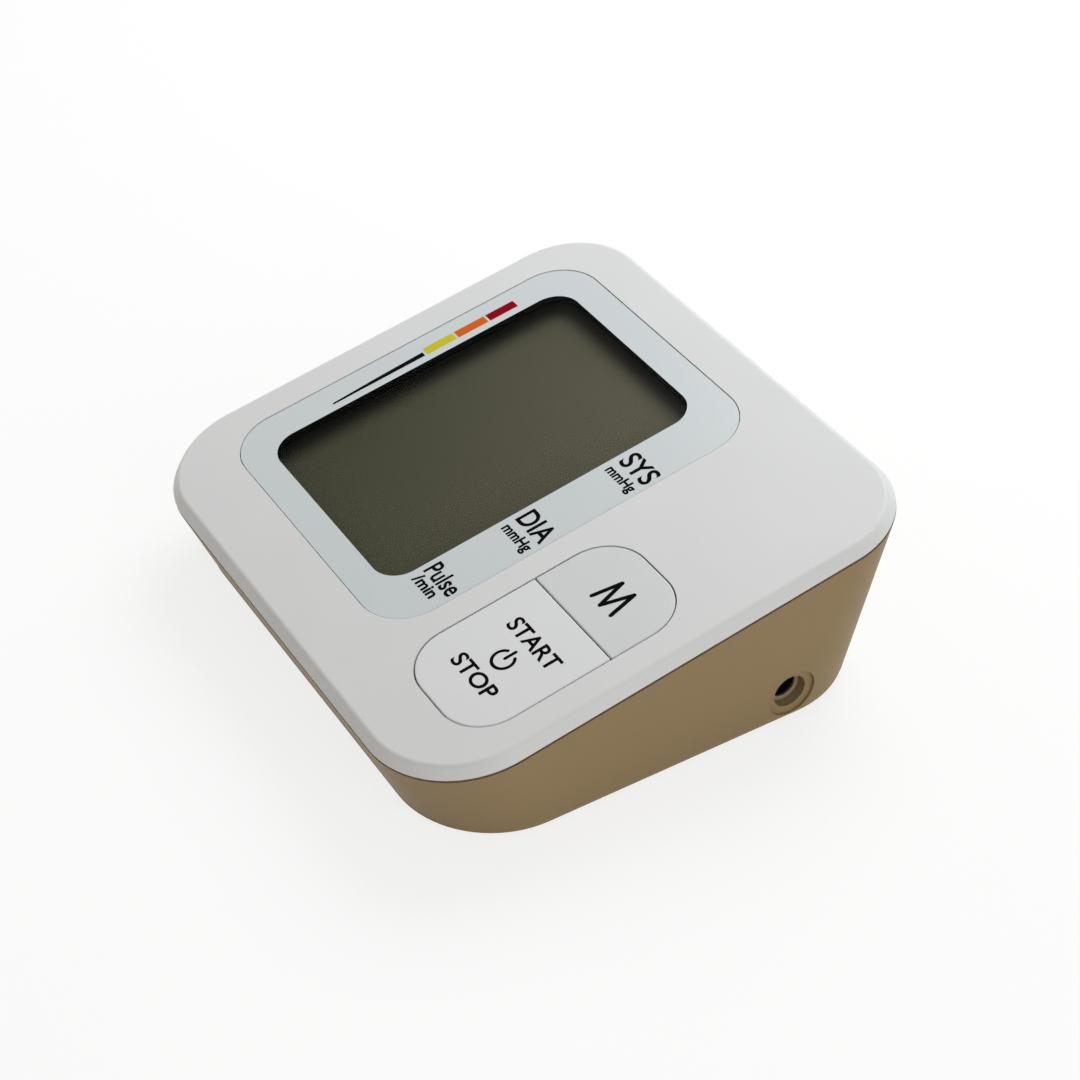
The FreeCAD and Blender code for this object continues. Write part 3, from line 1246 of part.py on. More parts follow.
def make_pressure_sensor():
    """Sensor on the board's underside; its port is in line with the junction."""
    port_y, port_z = in_panel(AIR_Y, AIR_Z)
    body = new_body("pressure_sensor", on_panel=True)
    block = new_sketch(body, "sensor_block", x=SENSOR_X, y=port_y, z=f"-{BOARD_FACE}")
    rectangle(block, "sensor_size", "sensor_size")
    pad(body, block, "sensor_height", down=True)
    port = new_sketch(body, "sensor_port", "YZ_Plane", x=port_y, y=port_z, z=f"{SENSOR_FACE} - sensor_port")
    circle(port, "barb_radius")
    pad(body, port, "sensor_port")
    way = new_sketch(body, "sensor_way", "YZ_Plane", x=port_y, y=port_z, z=f"{SENSOR_FACE} - sensor_port")
    circle(way, "barb_bore")
    pocket(body, way, "sensor_port + 1.5", up=True)
    return body


# ---------------------------------------------------------------- the whole unit
keep(make_top_cover())
keep(make_display_window())
keep(make_lcd_panel())
keep(make_lcd_frame())
keep(make_contact_strip())
for key_name in KEYS:
    keep(make_key(key_name))
    keep(make_switch(key_name))
    keep(make_plunger(key_name))
keep(make_main_board())
keep(make_board_screws())
keep(make_case_screws())
keep(make_bottom_case())
keep(make_feet())
keep(make_battery_door())
for cell_index in range(4):
    keep(make_cell(cell_index))
keep(make_contacts())
keep(make_springs())
keep(make_power_inlet())
keep(make_inlet_pin())
keep(make_air_socket())
keep(make_air_junction())
for tube_name in TUBES:
    keep(make_tube(tube_name))
keep(make_pump_head())
keep(make_pump_motor())
keep(make_pump_crank())
keep(make_pump_pad())
keep(make_release_valve())
keep(make_valve_core())
keep(make_pressure_sensor())

doc.recompute()
for thing in doc.Objects:
    if "Invalid" in thing.State or "Error" in thing.State:
        raise RuntimeError(f"{thing.Label} is {thing.State}")
for piece in NODES:
    if piece.Shape.isNull() or not piece.Shape.isValid():
        raise RuntimeError(f"{piece.Label} has no valid shape")

os.makedirs("parts", exist_ok=True)
for piece in NODES:
    piece.Shape.exportStep(f"parts/{piece.Label}.step")
print(len(NODES), "nodes written")
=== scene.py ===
"""Looks of the desktop blood pressure monitor: finishes, printed marks, small trim, light and camera.

Lengths are metres in the model's frame. Marks on the sloping cover are placed in the panel frame:
x and y along the panel in millimetres from its centre, z along its normal.
"""

from math import cos, radians, sin

import bmesh
import bpy
from mathutils import Matrix, Vector


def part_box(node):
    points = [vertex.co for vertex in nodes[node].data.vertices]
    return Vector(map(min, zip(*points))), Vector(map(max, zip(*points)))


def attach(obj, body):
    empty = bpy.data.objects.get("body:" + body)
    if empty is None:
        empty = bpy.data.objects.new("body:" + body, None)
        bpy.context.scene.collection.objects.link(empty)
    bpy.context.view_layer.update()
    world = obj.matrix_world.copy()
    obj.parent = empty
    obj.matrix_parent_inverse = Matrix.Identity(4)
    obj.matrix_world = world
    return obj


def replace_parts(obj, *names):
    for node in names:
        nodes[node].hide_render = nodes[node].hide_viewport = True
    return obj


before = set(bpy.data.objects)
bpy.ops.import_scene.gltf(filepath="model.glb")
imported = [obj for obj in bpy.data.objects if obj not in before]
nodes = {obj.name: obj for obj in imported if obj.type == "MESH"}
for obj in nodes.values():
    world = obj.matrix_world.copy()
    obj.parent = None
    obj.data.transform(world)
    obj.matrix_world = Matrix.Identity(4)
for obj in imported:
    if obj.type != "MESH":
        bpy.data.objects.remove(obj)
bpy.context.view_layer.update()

MM = 0.001
SLOPE = radians(11)
PANEL_ORIGIN = Vector((0, -0.5343, 33.2007)) * MM
PANEL = Matrix.Translation(PANEL_ORIGIN) @ Matrix.Rotation(SLOPE, 4, "X")


def on_panel(node):
    """Points of a CAD node in the panel frame, in millimetres."""
    back = PANEL.inverted()
    return [back @ vertex.co / MM for vertex in nodes[node].data.vertices]


def panel_box(node):
    """Lowest and highest corner of a CAD node in the panel frame, in millimetres."""
    points = on_panel(node)
    return [Vector([pick(point[axis] for point in points) for axis in range(3)]) for pick in (min, max)]


def panel_field(node, margin, corner):
    """A node's outline on the panel, less a margin: centre x, centre y, width, depth, corner radius."""
    low, high = panel_box(node)
    middle, size = (low + high) / 2, high - low
    return middle.x, middle.y, size.x - 2 * margin, size.y - 2 * margin, corner


GLASS_MARGIN = 3.0
WINDOW = panel_field("display_window", 0.0, 11.0)
OPENING = panel_field("lcd_panel", GLASS_MARGIN, 6.3)
WINDOW_FACE = panel_box("display_window")[1].z
KEY_MIDDLE = panel_field("start_stop_key", 0.0, 0.0)[0]
KEY_SPLIT = panel_box("start_stop_key")[1].y


# ---------------------------------------------------------------- finishes
def shade(red, green, blue):
    """Linear colour of a shade given as it looks on a screen, 0 to 255."""
    def linear(v):
        v /= 255
        return v / 12.92 if v <= 0.04045 else ((v + 0.055) / 1.055) ** 2.4
    return (linear(red), linear(green), linear(blue), 1.0)


class Wire:
    """One output socket of a tree; arithmetic on it adds Math nodes."""

    def __init__(self, tree, socket):
        self.tree = tree
        self.socket = socket

    def sum(self, operation, *values):
        return self.tree.node("ShaderNodeMath", {"operation": operation}, list(values))

    def __add__(self, other):
        return self.sum("ADD", self, other)

    def __sub__(self, other):
        return self.sum("SUBTRACT", self, other)

    def __rsub__(self, other):
        return self.sum("SUBTRACT", other, self)

    def __mul__(self, other):
        return self.sum("MULTIPLY", self, other)

    def __truediv__(self, other):
        return self.sum("DIVIDE", self, other)

    def __abs__(self):
        return self.sum("ABSOLUTE", self)

    __radd__ = __add__
    __rmul__ = __mul__

    def at_least(self, other):
        return self.sum("MAXIMUM", self, other)

    def at_most(self, other):
        return self.sum("MINIMUM", self, other)

    def root(self):
        return self.sum("SQRT", self)

    def step(self, low, high):
        """0 below low, 1 above high, smooth between."""
        ends = {"Value": self, "From Min": low, "From Max": high}
        return self.tree.node("ShaderNodeMapRange", {"interpolation_type": "SMOOTHSTEP"}, ends)

    def other(self, output):
        """Another output of the same node."""
        return Wire(self.tree, self.socket.node.outputs[output])


class Tree:
    """A node tree that is written as calls."""

    def __init__(self, tree):
        self.tree = tree

    def node(self, kind, settings, inputs, output=0):
        """Add a node: its settings first, then the values or wires of its sockets."""
        node = self.tree.nodes.new(kind)
        for name, value in settings.items():
            setattr(node, name, value)
        pairs = inputs.items() if isinstance(inputs, dict) else enumerate(inputs)
        for key, value in pairs:
            self.feed(node.inputs[key], value)
        return Wire(self, node.outputs[output]) if node.outputs else None

    def feed(self, socket, value):
        """Give a socket a value or a wire."""
        if isinstance(value, Wire):
            self.tree.links.new(value.socket, socket)
        else:
            socket.default_value = value


class Finish(Tree):
    """A material made of nodes."""

    def __init__(self, name):
        self.material = bpy.data.materials.new(name)
        self.material.use_nodes = True
        super().__init__(self.material.node_tree)
        self.shader = self.tree.nodes["Principled BSDF"]
        self.output = self.tree.nodes["Material Output"]

    def set(self, **values):
        """Sockets of the main shader; an underscore in a name stands for a space."""
        for name, value in values.items():
            self.feed(self.shader.inputs[name.replace("_", " ")], value)

    def fed(self, name):
        """What already feeds a socket of the main shader."""
        return Wire(self, self.shader.inputs[name].links[0].from_socket)

    def place(self):
        """Point on the piece in the model's frame, in millimetres."""
        point = self.node("ShaderNodeTexCoord", {}, [], "Object")
        return self.node("ShaderNodeVectorMath", {"operation": "SCALE"}, {0: point, "Scale": 1000.0})

    def panel_place(self):
        """Point on the piece in the panel frame, in millimetres."""
        turn = {0: self.place(), 1: PANEL_ORIGIN / MM, 2: (SLOPE, 0, 0)}
        return self.node("ShaderNodeMapping", {"vector_type": "TEXTURE"}, turn)

    def split(self, vector):
        """The x, y and z of a vector."""
        first = self.node("ShaderNodeSeparateXYZ", {}, [vector])
        return [first.other(axis) for axis in "XYZ"]

    def noise(self, place, size, detail=2.0, roughness=0.5):
        """Soft noise, 0 to 1, with blots of about the given size in millimetres."""
        inputs = {"Vector": place, "Scale": 1 / size, "Detail": detail, "Roughness": roughness}
        return self.node("ShaderNodeTexNoise", {}, inputs, "Fac")

    def mix(self, factor, first, second):
        return self.node("ShaderNodeMix", {"data_type": "RGBA"}, {0: factor, 6: first, 7: second}, 2)

    def bump(self, height, distance):
        """Relief: height 0 to 1 of a distance in millimetres."""
        return self.node("ShaderNodeBump", {}, {"Height": height, "Distance": distance * MM}, "Normal")

    def rounded(self, place, centre_x, centre_y, width, depth, corner):
        """Distance from a rounded rectangle's edge, in millimetres; negative inside."""
        x, y, _ = self.split(place)
        past_x = abs(x - centre_x) - (width / 2 - corner)
        past_y = abs(y - centre_y) - (depth / 2 - corner)
        out_x, out_y = past_x.at_least(0.0), past_y.at_least(0.0)
        outside = (out_x * out_x + out_y * out_y).root()
        return outside + past_x.at_least(past_y).at_most(0.0) - corner


def vary(colour, amount):
    """A darker and a lighter version of a colour."""
    return [(*(channel * factor for channel in colour[:3]), 1.0) for factor in (1 - amount, 1 + amount)]


CLOUD_SIZE, GRAIN_SIZE = 22.0, 0.35         # in moulded plastic, in millimetres
MOTTLE = 0.03                               # how much its colour varies


def moulded(finish, place, colour, roughness, depth=0.012, gloss=0.45):
    """Spark-eroded moulded plastic: faint clouds in the colour, fine grain in the relief."""
    dark, light = vary(colour, MOTTLE)
    clouds = finish.noise(place, CLOUD_SIZE, 3.0)
    fine = finish.noise(place, GRAIN_SIZE, 3.0, 0.6)
    finish.set(Base_Color=finish.mix(clouds, dark, light),
               Roughness=roughness - 0.06 + 0.12 * fine,
               Normal=finish.bump(fine, depth),
               Specular_IOR_Level=gloss)
    return finish


def plastic(name, colour, roughness, **detail):
    """Plain moulded plastic of one colour."""
    finish = Finish(name)
    return moulded(finish, finish.place(), colour, roughness, **detail).material


COVER = shade(211, 213, 213)
KEY = shade(213, 215, 216)
# the key plastic painted a little darker on the memory key: painted shade
SHADED_MEMORY_KEY = shade(201, 205, 205)
CASE = shade(141, 121, 88)
BORDER = shade(198, 205, 207)
INK = shade(4, 4, 4)
# black of the cover's ledge under the window: painted shade in the recess around the display
LEDGE_PAINTED_SHADE = shade(5, 5, 5)
DISPLAY_GLOSS, PRINT_GLOSS = 0.08, 0.015    # specular levels
LEDGE_HEIGHTS = (-1.36, -1.3)               # on the panel: the ledge is painted black below these, as painted shade
LEDGE_POLISH = 0.8                          # how much smoother the ledge painted black is
PANE = 0.07                                 # how much of the clear pane itself is seen
PRINT_DEPTHS = (0.3, 0.2)                   # the window's print ends this far under its face
PRINT_RIM = (-0.6, -0.4)                    # from the window's outline: its rim stays printed to the foot
PAINTED_SHADOW_FROM, PAINTED_SHADOW_LEFT, PAINTED_SHADOW_REAR = -0.5, 7.0, 6.0     # reach of the painted shadow along the display's left and rear edges


def cover_finish():
    """Pale cover; the ledge under the window is painted black, as painted shade in the recess around the
    display.
    """
    finish = Finish("cover_satin")
    place = finish.panel_place()
    moulded(finish, place, COVER, 0.42, gloss=0.2)
    _, _, z = finish.split(place)
    inside = 1 - finish.rounded(place, *WINDOW).step(-0.4, 0.0)
    painted_shade = inside * (1 - z.step(*LEDGE_HEIGHTS))
    finish.set(Base_Color=finish.mix(painted_shade, finish.fed("Base Color"), LEDGE_PAINTED_SHADE),
               Roughness=finish.fed("Roughness") * (1 - LEDGE_POLISH * painted_shade))
    return finish.material


def window_finish():
    """Clear plate with a grey border; its lower face stays clear, so that no second edge shows."""
    finish = Finish("window_print")
    place = finish.panel_place()
    printed = finish.rounded(place, *OPENING).step(-0.04, 0.04)
    _, _, z = finish.split(place)
    under = 1 - z.step(*(WINDOW_FACE - depth for depth in PRINT_DEPTHS))
    lower = under * (1 - finish.rounded(place, *WINDOW).step(*PRINT_RIM))
    clouds = finish.noise(place, 30.0)
    dark, light = vary(BORDER, 0.02)
    fine = finish.noise(place, 0.8, 2.0)
    finish.set(Base_Color=finish.mix(printed, shade(8, 9, 8), finish.mix(clouds, dark, light)),
               Alpha=PANE + (1 - PANE) * printed * (1 - lower),
               Roughness=0.24 + 0.04 * fine,
               Normal=finish.bump(fine, 0.001),
               Specular_IOR_Level=0.35)
    return finish.material


def display_finish():
    """Switched-off olive liquid crystal, with painted light to the rear and right and painted shadow by its
    left and rear edges.
    """
    finish = Finish("display_olive")
    place = finish.panel_place()
    x, y, _ = finish.split(place)
    half_wide, half_deep = OPENING[2] / 2, OPENING[3] / 2
    along = (y - OPENING[1]).step(-half_deep, half_deep)
    clouds = finish.noise(place, 26.0, 2.0)
    across = (x - OPENING[0]).step(-half_wide, half_wide)
    # painted light: the olive grows paler to the rear and to the right, with faint random clouds
    painted_light_and_clouds = 0.55 * along + 0.35 * across + 0.1 * clouds
    clear_of_left_shadow = (x - (OPENING[0] - half_wide)).step(PAINTED_SHADOW_FROM, PAINTED_SHADOW_LEFT)
    clear_of_rear_shadow = ((OPENING[1] + half_deep) - y).step(PAINTED_SHADOW_FROM, PAINTED_SHADOW_REAR)
    pixel = finish.noise(place, 0.6, 1.0)
    olive = finish.mix(painted_light_and_clouds, shade(66, 67, 49), shade(95, 93, 74))
    # painted shadow: near black along the display's left and rear edges
    finish.set(Base_Color=finish.mix(clear_of_left_shadow * clear_of_rear_shadow, shade(24, 24, 17), olive),
               Roughness=0.38 + 0.1 * pixel,
               Normal=finish.bump(pixel, 0.001),
               Specular_IOR_Level=DISPLAY_GLOSS)
    return finish.material


def ink_finish(name, colour):
    """Pad-printed ink: almost flat, with a slightly uneven edge of gloss."""
    finish = Finish(name)
    place = finish.place()
    cover = finish.noise(place, 0.6, 2.0)
    dark, light = vary(colour, 0.06)
    finish.set(Base_Color=finish.mix(cover, dark, light), Roughness=0.5 + 0.12 * cover,
               Normal=finish.bump(cover, 0.004), Specular_IOR_Level=PRINT_GLOSS)
    return finish.material


def metal(name, colour, roughness, along="Y", streak=0.25):
    """Drawn or brushed metal: fine streaks along one axis."""
    finish = Finish(name)
    stretch = {"X": (0.06, 1, 1), "Y": (1, 0.06, 1), "Z": (1, 1, 0.06)}[along]
    place = finish.node("ShaderNodeMapping", {}, {0: finish.place(), 3: stretch})
    lines = finish.noise(place, 0.12, 3.0, 0.7)
    dark, light = vary(colour, 0.12)
    finish.set(Base_Color=finish.mix(lines, dark, light), Metallic=1.0,
               Roughness=roughness + streak * (lines - 0.5), Normal=finish.bump(lines, 0.006))
    return finish.material


def board_finish():
    """Green solder mask over copper tracks, with bare tinned pads."""
    finish = Finish("solder_mask")
    place = finish.panel_place()
    turned = finish.node("ShaderNodeMapping", {}, {0: place, 2: (0, 0, radians(45))})
    brick = {"Vector": turned, "Scale": 0.18, "Mortar Size": 0.03}
    cells = finish.node("ShaderNodeTexBrick", {"offset": 0.5}, brick, "Fac")
    tracks = cells * finish.noise(place, 9.0, 1.0).step(0.45, 0.5)
    spots = {"Vector": place, "Scale": 0.22}
    dots = finish.node("ShaderNodeTexVoronoi", {"feature": "F1"}, spots, "Distance")
    pads = 1 - dots.step(0.10, 0.13)
    mask = finish.mix(tracks, shade(20, 92, 52), shade(44, 128, 76))
    finish.set(Base_Color=finish.mix(pads, mask, shade(196, 194, 186)), Metallic=pads,
               Roughness=0.34 + 0.1 * pads, Normal=finish.bump(tracks + pads, 0.03))
    return finish.material


def rubber(name, colour):
    """Matt rubber with a coarse, cloudy grain."""
    finish = Finish(name)
    place = finish.place()
    grain = finish.noise(place, 0.5, 4.0, 0.7)
    dark, light = vary(colour, 0.15)
    finish.set(Base_Color=finish.mix(finish.noise(place, 6.0), dark, light),
               Roughness=0.75 + 0.1 * grain, Normal=finish.bump(grain, 0.02), Specular_IOR_Level=0.3)
    return finish.material


def silicone(name):
    """Milky soft tube, a little see-through."""
    finish = Finish(name)
    place = finish.place()
    clouds = finish.noise(place, 4.0, 3.0)
    finish.set(Base_Color=finish.mix(clouds, shade(205, 204, 196), shade(226, 225, 218)),
               Roughness=0.38 + 0.12 * clouds, Normal=finish.bump(clouds, 0.03),
               Subsurface_Weight=0.25, Subsurface_Radius=(0.002, 0.002, 0.0018))
    return finish.material


# shares of a cell's length from its flat end: where the bare foot ends, the band begins, the top is bare
BARE_FOOT, BAND, BARE_TOP = (0.012, 0.016), (0.78, 0.783), (0.955, 0.96)


def cell_finish(node, positive_rear):
    """Sleeved battery cell: dark sleeve, a pale band at the positive end, bare steel ends."""
    low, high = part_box(node)
    finish = Finish(f"{node}_sleeve")
    place = finish.place()
    _, y, _ = finish.split(place)
    start, end = low[1] / MM, high[1] / MM
    along = (y - start) / (end - start)
    if not positive_rear:
        along = 1 - along
    bare = along.step(*BARE_TOP).at_least(1 - along.step(*BARE_FOOT))
    band = along.step(*BAND)
    fine = finish.noise(place, 1.5, 3.0)
    sleeve = finish.mix(band, finish.mix(fine, shade(30, 32, 36), shade(42, 44, 48)), shade(186, 150, 88))
    finish.set(Base_Color=finish.mix(bare, sleeve, shade(190, 190, 188)), Metallic=bare.at_least(0.6 * band),
               Roughness=0.3 + 0.1 * fine, Normal=finish.bump(fine, 0.01), Coat_Weight=0.3)
    return finish.material


FINISHES = {
    "top_cover": cover_finish(),
    "display_window": window_finish(),
    "lcd_panel": display_finish(),
    "main_board": board_finish(),
}
case_satin = plastic("case_satin", CASE, 0.5, depth=0.02, gloss=0.12)
zinc = metal("zinc_plate", shade(186, 188, 192), 0.35)
shared = {
    case_satin: ("bottom_case", "battery_door"),
    plastic("key_satin", KEY, 0.42): ("start_stop_key",),
    plastic("memory_key_satin", SHADED_MEMORY_KEY, 0.42): ("memory_key",),
    plastic("black_moulding", shade(24, 24, 25), 0.45):
        ("lcd_frame", "start_stop_switch", "memory_switch", "release_valve", "pressure_sensor",
         "power_inlet"),
    plastic("white_moulding", shade(222, 221, 214), 0.4):
        ("start_stop_plunger", "memory_plunger", "air_socket", "air_junction", "pump_head"),
    rubber("dark_rubber", shade(44, 43, 42)): ("rubber_feet", "lcd_contact_strip", "pump_pad"),
    silicone("milky_silicone"): ("socket_tube", "pump_tube", "valve_tube", "sensor_tube"),
    zinc: ("board_screws", "pump_crank", "valve_core"),
    metal("motor_steel", shade(172, 174, 178), 0.38, "Z"): ("pump_motor",),
    metal("spring_nickel", shade(205, 203, 196), 0.25, "X"): ("battery_contacts", "battery_springs"),
    metal("bright_pin", shade(212, 210, 204), 0.18, "X", 0.1): ("power_inlet_pin",),
}
for material, named in shared.items():
    for node in named:
        FINISHES[node] = material
for number in range(1, 5):
    FINISHES[f"battery_cell_{number}"] = cell_finish(f"battery_cell_{number}", number % 2 == 1)
for node, material in FINISHES.items():
    slots = nodes[node].data.materials
    slots.clear()
    slots.append(material)


# ---------------------------------------------------------------- pieces and meshes
def put(name, data):
    """A new object in the scene."""
    obj = bpy.data.objects.new(name, data)
    bpy.context.scene.collection.objects.link(obj)
    return obj


def plain_mesh(name, obj):
    """The mesh that an object's curve or modifier gives; the object itself goes."""
    bpy.context.view_layer.update()
    mesh = bpy.data.meshes.new_from_object(obj.evaluated_get(bpy.context.evaluated_depsgraph_get()))
    bpy.data.objects.remove(obj)
    mesh.name = name
    return mesh


def drafted_mesh(name, draft):
    """The mesh of a finished draft, which goes."""
    mesh = bpy.data.meshes.new(name)
    draft.to_mesh(mesh)
    draft.free()
    return mesh


def bridge(draft, near, far):
    """Quads between two closed loops of the same length."""
    for i in range(len(near)):
        j = (i + 1) % len(near)
        draft.faces.new((near[i], near[j], far[j], far[i]))


def piece(name, mesh, material, body):
    """A finished piece at the origin, riding on a body."""
    obj = put(name, mesh)
    mesh.materials.clear()
    mesh.materials.append(material)
    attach(obj, body)
    return obj


# ---------------------------------------------------------------- printed marks
def flat_mesh(name, outlines, height):
    """Flat faces on the panel, each from a run of (x, y) points in millimetres; each lies a hair higher."""
    mesh = bpy.data.meshes.new(name)
    points, faces = [], []
    for layer, run in enumerate(outlines):
        faces.append(range(len(points), len(points) + len(run)))
        points.extend(PANEL @ (Vector((x, y, height + LAYER_LIFT * layer)) * MM) for x, y in run)
    mesh.from_pydata(points, [], [list(face) for face in faces])
    return mesh


def lettering(name, words, left, right, low, high, height, bold):
    """Words as a flat mesh that fills the given box on the panel, in millimetres."""
    curve = bpy.data.curves.new(name, "FONT")
    curve.body = words
    curve.offset = bold
    curve.resolution_u = 6
    mesh = plain_mesh(name, put(name + "_source", curve))
    xs = [v.co.x for v in mesh.vertices]
    ys = [v.co.y for v in mesh.vertices]
    wide, tall = (right - left) / (max(xs) - min(xs)), (high - low) / (max(ys) - min(ys))
    for vertex in mesh.vertices:
        x = left + (vertex.co.x - min(xs)) * wide
        y = low + (vertex.co.y - min(ys)) * tall
        vertex.co = PANEL @ (Vector((x, y, height)) * MM)
    return mesh


def arc(radius, start, end, count):
    """Points along an arc about the origin."""
    step = (end - start) / (count - 1)
    return [(radius * cos(start + i * step), radius * sin(start + i * step)) for i in range(count)]


def stroke(start, end, width):
    """Outline of a straight stroke with round ends."""
    run = Vector(end) - Vector(start)
    heading = Vector((1, 0)).angle_signed(run) * -1
    cap = arc(width / 2, heading - radians(90), heading + radians(90), 9)
    back = arc(width / 2, heading + radians(90), heading + radians(270), 9)
    return [(end[0] + x, end[1] + y) for x, y in cap] + [(start[0] + x, start[1] + y) for x, y in back]


ink = ink_finish("black_ink", INK)
INK_LIFT, LAYER_LIFT = 0.02, 0.002          # ink over its surface, one stroke over the last
ON_WINDOW, ON_KEY = WINDOW_FACE + INK_LIFT, INK_LIFT
BOLD, KEY_BOLD, UNIT_BOLD = 0.018, 0.0198, 0.032
# left, right, low and high edge of each word, from the window's centre or from the keys' slit
WORDS = (
    ("print_sys", "SYS", (26.6, 36.2, 16.3, 21.25)),
    ("print_sys_unit", "mmHg", (26.8, 35.9, 12.15, 15.45)),
    ("print_dia", "DIA", (26.5, 36.05, -8.9, -4.05)),
    ("print_dia_unit", "mmHg", (26.75, 35.85, -13.35, -9.85)),
    ("print_pulse", "Pulse", (26.4, 36.15, -30.95, -26.65)),
    ("print_pulse_unit", "/min", (26.75, 34.05, -34.0, -31.15)),
)
KEY_WORDS = (
    ("print_start", "START", (-7.25, 8.8, -11.1, -7.3)),
    ("print_stop", "STOP", (-6.6, 7.1, -24.4, -20.7)),
)
MEMORY_POINTS = ((-2.45, 6.3), (-1.25, 12.75), (0.75, 6.15), (3.0, 12.75), (4.45, 6.3))
MEMORY_STROKE = 0.95
POWER_MARK = (0.35, -16.1)
POWER_RADIUS, POWER_STROKE = 2.33, 0.7
POWER_TURNS = (125, 415)                    # degrees at which its broken ring starts and ends
POWER_BAR = (0.4, 2.95)                     # foot and top of its bar


def shifted(box, x, y):
    """Box moved by x and y."""
    left, right, low, high = box
    return left + x, right + x, low + y, high + y


for name, words, box in WORDS:
    weight = UNIT_BOLD if name.endswith("unit") else BOLD
    mesh = lettering(name, words, *shifted(box, WINDOW[0], WINDOW[1]), ON_WINDOW, weight)
    piece(name, mesh, ink, "housing")
for name, words, box in KEY_WORDS:
    mesh = lettering(name, words, *shifted(box, KEY_MIDDLE, KEY_SPLIT), ON_KEY, KEY_BOLD)
    piece(name, mesh, ink, "start_stop_button")


def memory_letter():
    """One bent stroke with splayed feet."""
    points = [(KEY_MIDDLE + x, KEY_SPLIT + y) for x, y in MEMORY_POINTS]
    strokes = [stroke(start, end, MEMORY_STROKE) for start, end in zip(points, points[1:])]
    return flat_mesh("print_memory", strokes, ON_KEY)


def power_mark():
    """Broken ring with an upright bar."""
    half = POWER_STROKE / 2
    low, high = [radians(turn) for turn in POWER_TURNS]
    ring = arc(POWER_RADIUS + half, low, high, 40) + arc(POWER_RADIUS - half, high, low, 40)
    tips = [(POWER_RADIUS * cos(turn), POWER_RADIUS * sin(turn)) for turn in (low, high)]
    dots = [[(x + u, y + v) for u, v in arc(half, 0, radians(340), 18)] for x, y in tips]
    runs = [ring, *dots, stroke((0, POWER_BAR[0]), (0, POWER_BAR[1]), POWER_STROKE)]
    x, y = KEY_MIDDLE + POWER_MARK[0], KEY_SPLIT + POWER_MARK[1]
    return flat_mesh("print_power", [[(x + u, y + v) for u, v in run] for run in runs], ON_KEY)


piece("print_memory", memory_letter(), ink, "memory_button")
piece("print_power", power_mark(), ink, "start_stop_button")

# pressure scale beside the display: y and width at each step, from low to high
SCALE_OFFSET = 31.0
SCALE_RIGHT = WINDOW[0] - SCALE_OFFSET
SCALE = (
    ("scale_dark", INK, ((-20.75, 0.5), (-9.0, 1.05), (2.85, 1.4))),
    ("scale_yellow", shade(198, 188, 42), ((3.45, 2.4), (11.15, 2.4))),
    ("scale_orange", shade(206, 97, 27), ((11.65, 2.4), (19.45, 2.4))),
    ("scale_red", shade(138, 4, 19), ((19.95, 2.4), (27.25, 2.4))),
)
for name, colour, widths in SCALE:
    right = [(SCALE_RIGHT, WINDOW[1] + y) for y, _ in widths]
    left = [(SCALE_RIGHT - width, WINDOW[1] + y) for y, width in reversed(widths)]
    mesh = flat_mesh(name, [right + left], ON_WINDOW)
    piece(name, mesh, ink_finish(name + "_ink", colour), "housing")


# ---------------------------------------------------------------- trim that repeats
class Pattern(Tree):
    """A geometry tree with named inputs; it ends in plain geometry with one material."""

    def __init__(self, name, inputs):
        super().__init__(bpy.data.node_groups.new(name, "GeometryNodeTree"))
        face = self.tree.interface
        face.new_socket("Geometry", in_out="INPUT", socket_type="NodeSocketGeometry")
        face.new_socket("Geometry", in_out="OUTPUT", socket_type="NodeSocketGeometry")
        self.keys = {title: face.new_socket(title, in_out="INPUT", socket_type=kind).identifier
                     for title, kind in inputs.items()}
        self.group = self.node("NodeGroupInput", {}, {})

    def given(self, title):
        """The wire of a named input."""
        return self.group.other(title)

    def end(self, geometry, material):
        """Close the tree: plain geometry in one material."""
        plain = self.node("GeometryNodeRealizeInstances", {}, [geometry])
        painted = self.node("GeometryNodeSetMaterial", {}, {"Geometry": plain, "Material": material})
        self.node("NodeGroupOutput", {}, [painted])

    def made(self, name, base, values):
        """Mesh that the tree makes from a base mesh and the values of its inputs."""
        carrier = put(name + "_carrier", base)
        modifier = carrier.modifiers.new("pattern", "NODES")
        modifier.node_group = self.tree
        for title, value in values.items():
            modifier[self.keys[title]] = value
        return plain_mesh(name, carrier)


SCREW_HEAD, SCREW_SHANK = 2.0, 1.45         # height of the head, radius of the shank
SCREW_CROWN = ((0.72, 0.0), (0.92, 0.22), (1.0, 0.75))  # share of the head's radius, height
SCREW_PITCH, SCREW_TIP, SCREW_SIDES = 0.7, 1.0, 32
CREST_START, CREST_END = 0.15, 0.05         # from the foot and from the top of each turn
SCREW_GROOVE, SCREW_POINT = 0.82, 0.35      # shares of the shank's radius
CROSS_REACH, CROSS_HALF = 0.55, 0.17        # shares of the head's radius
CROSS_DEPTH, CROSS_FOOT = 0.55, 0.5         # shares of the head's height and of the cross's mouth


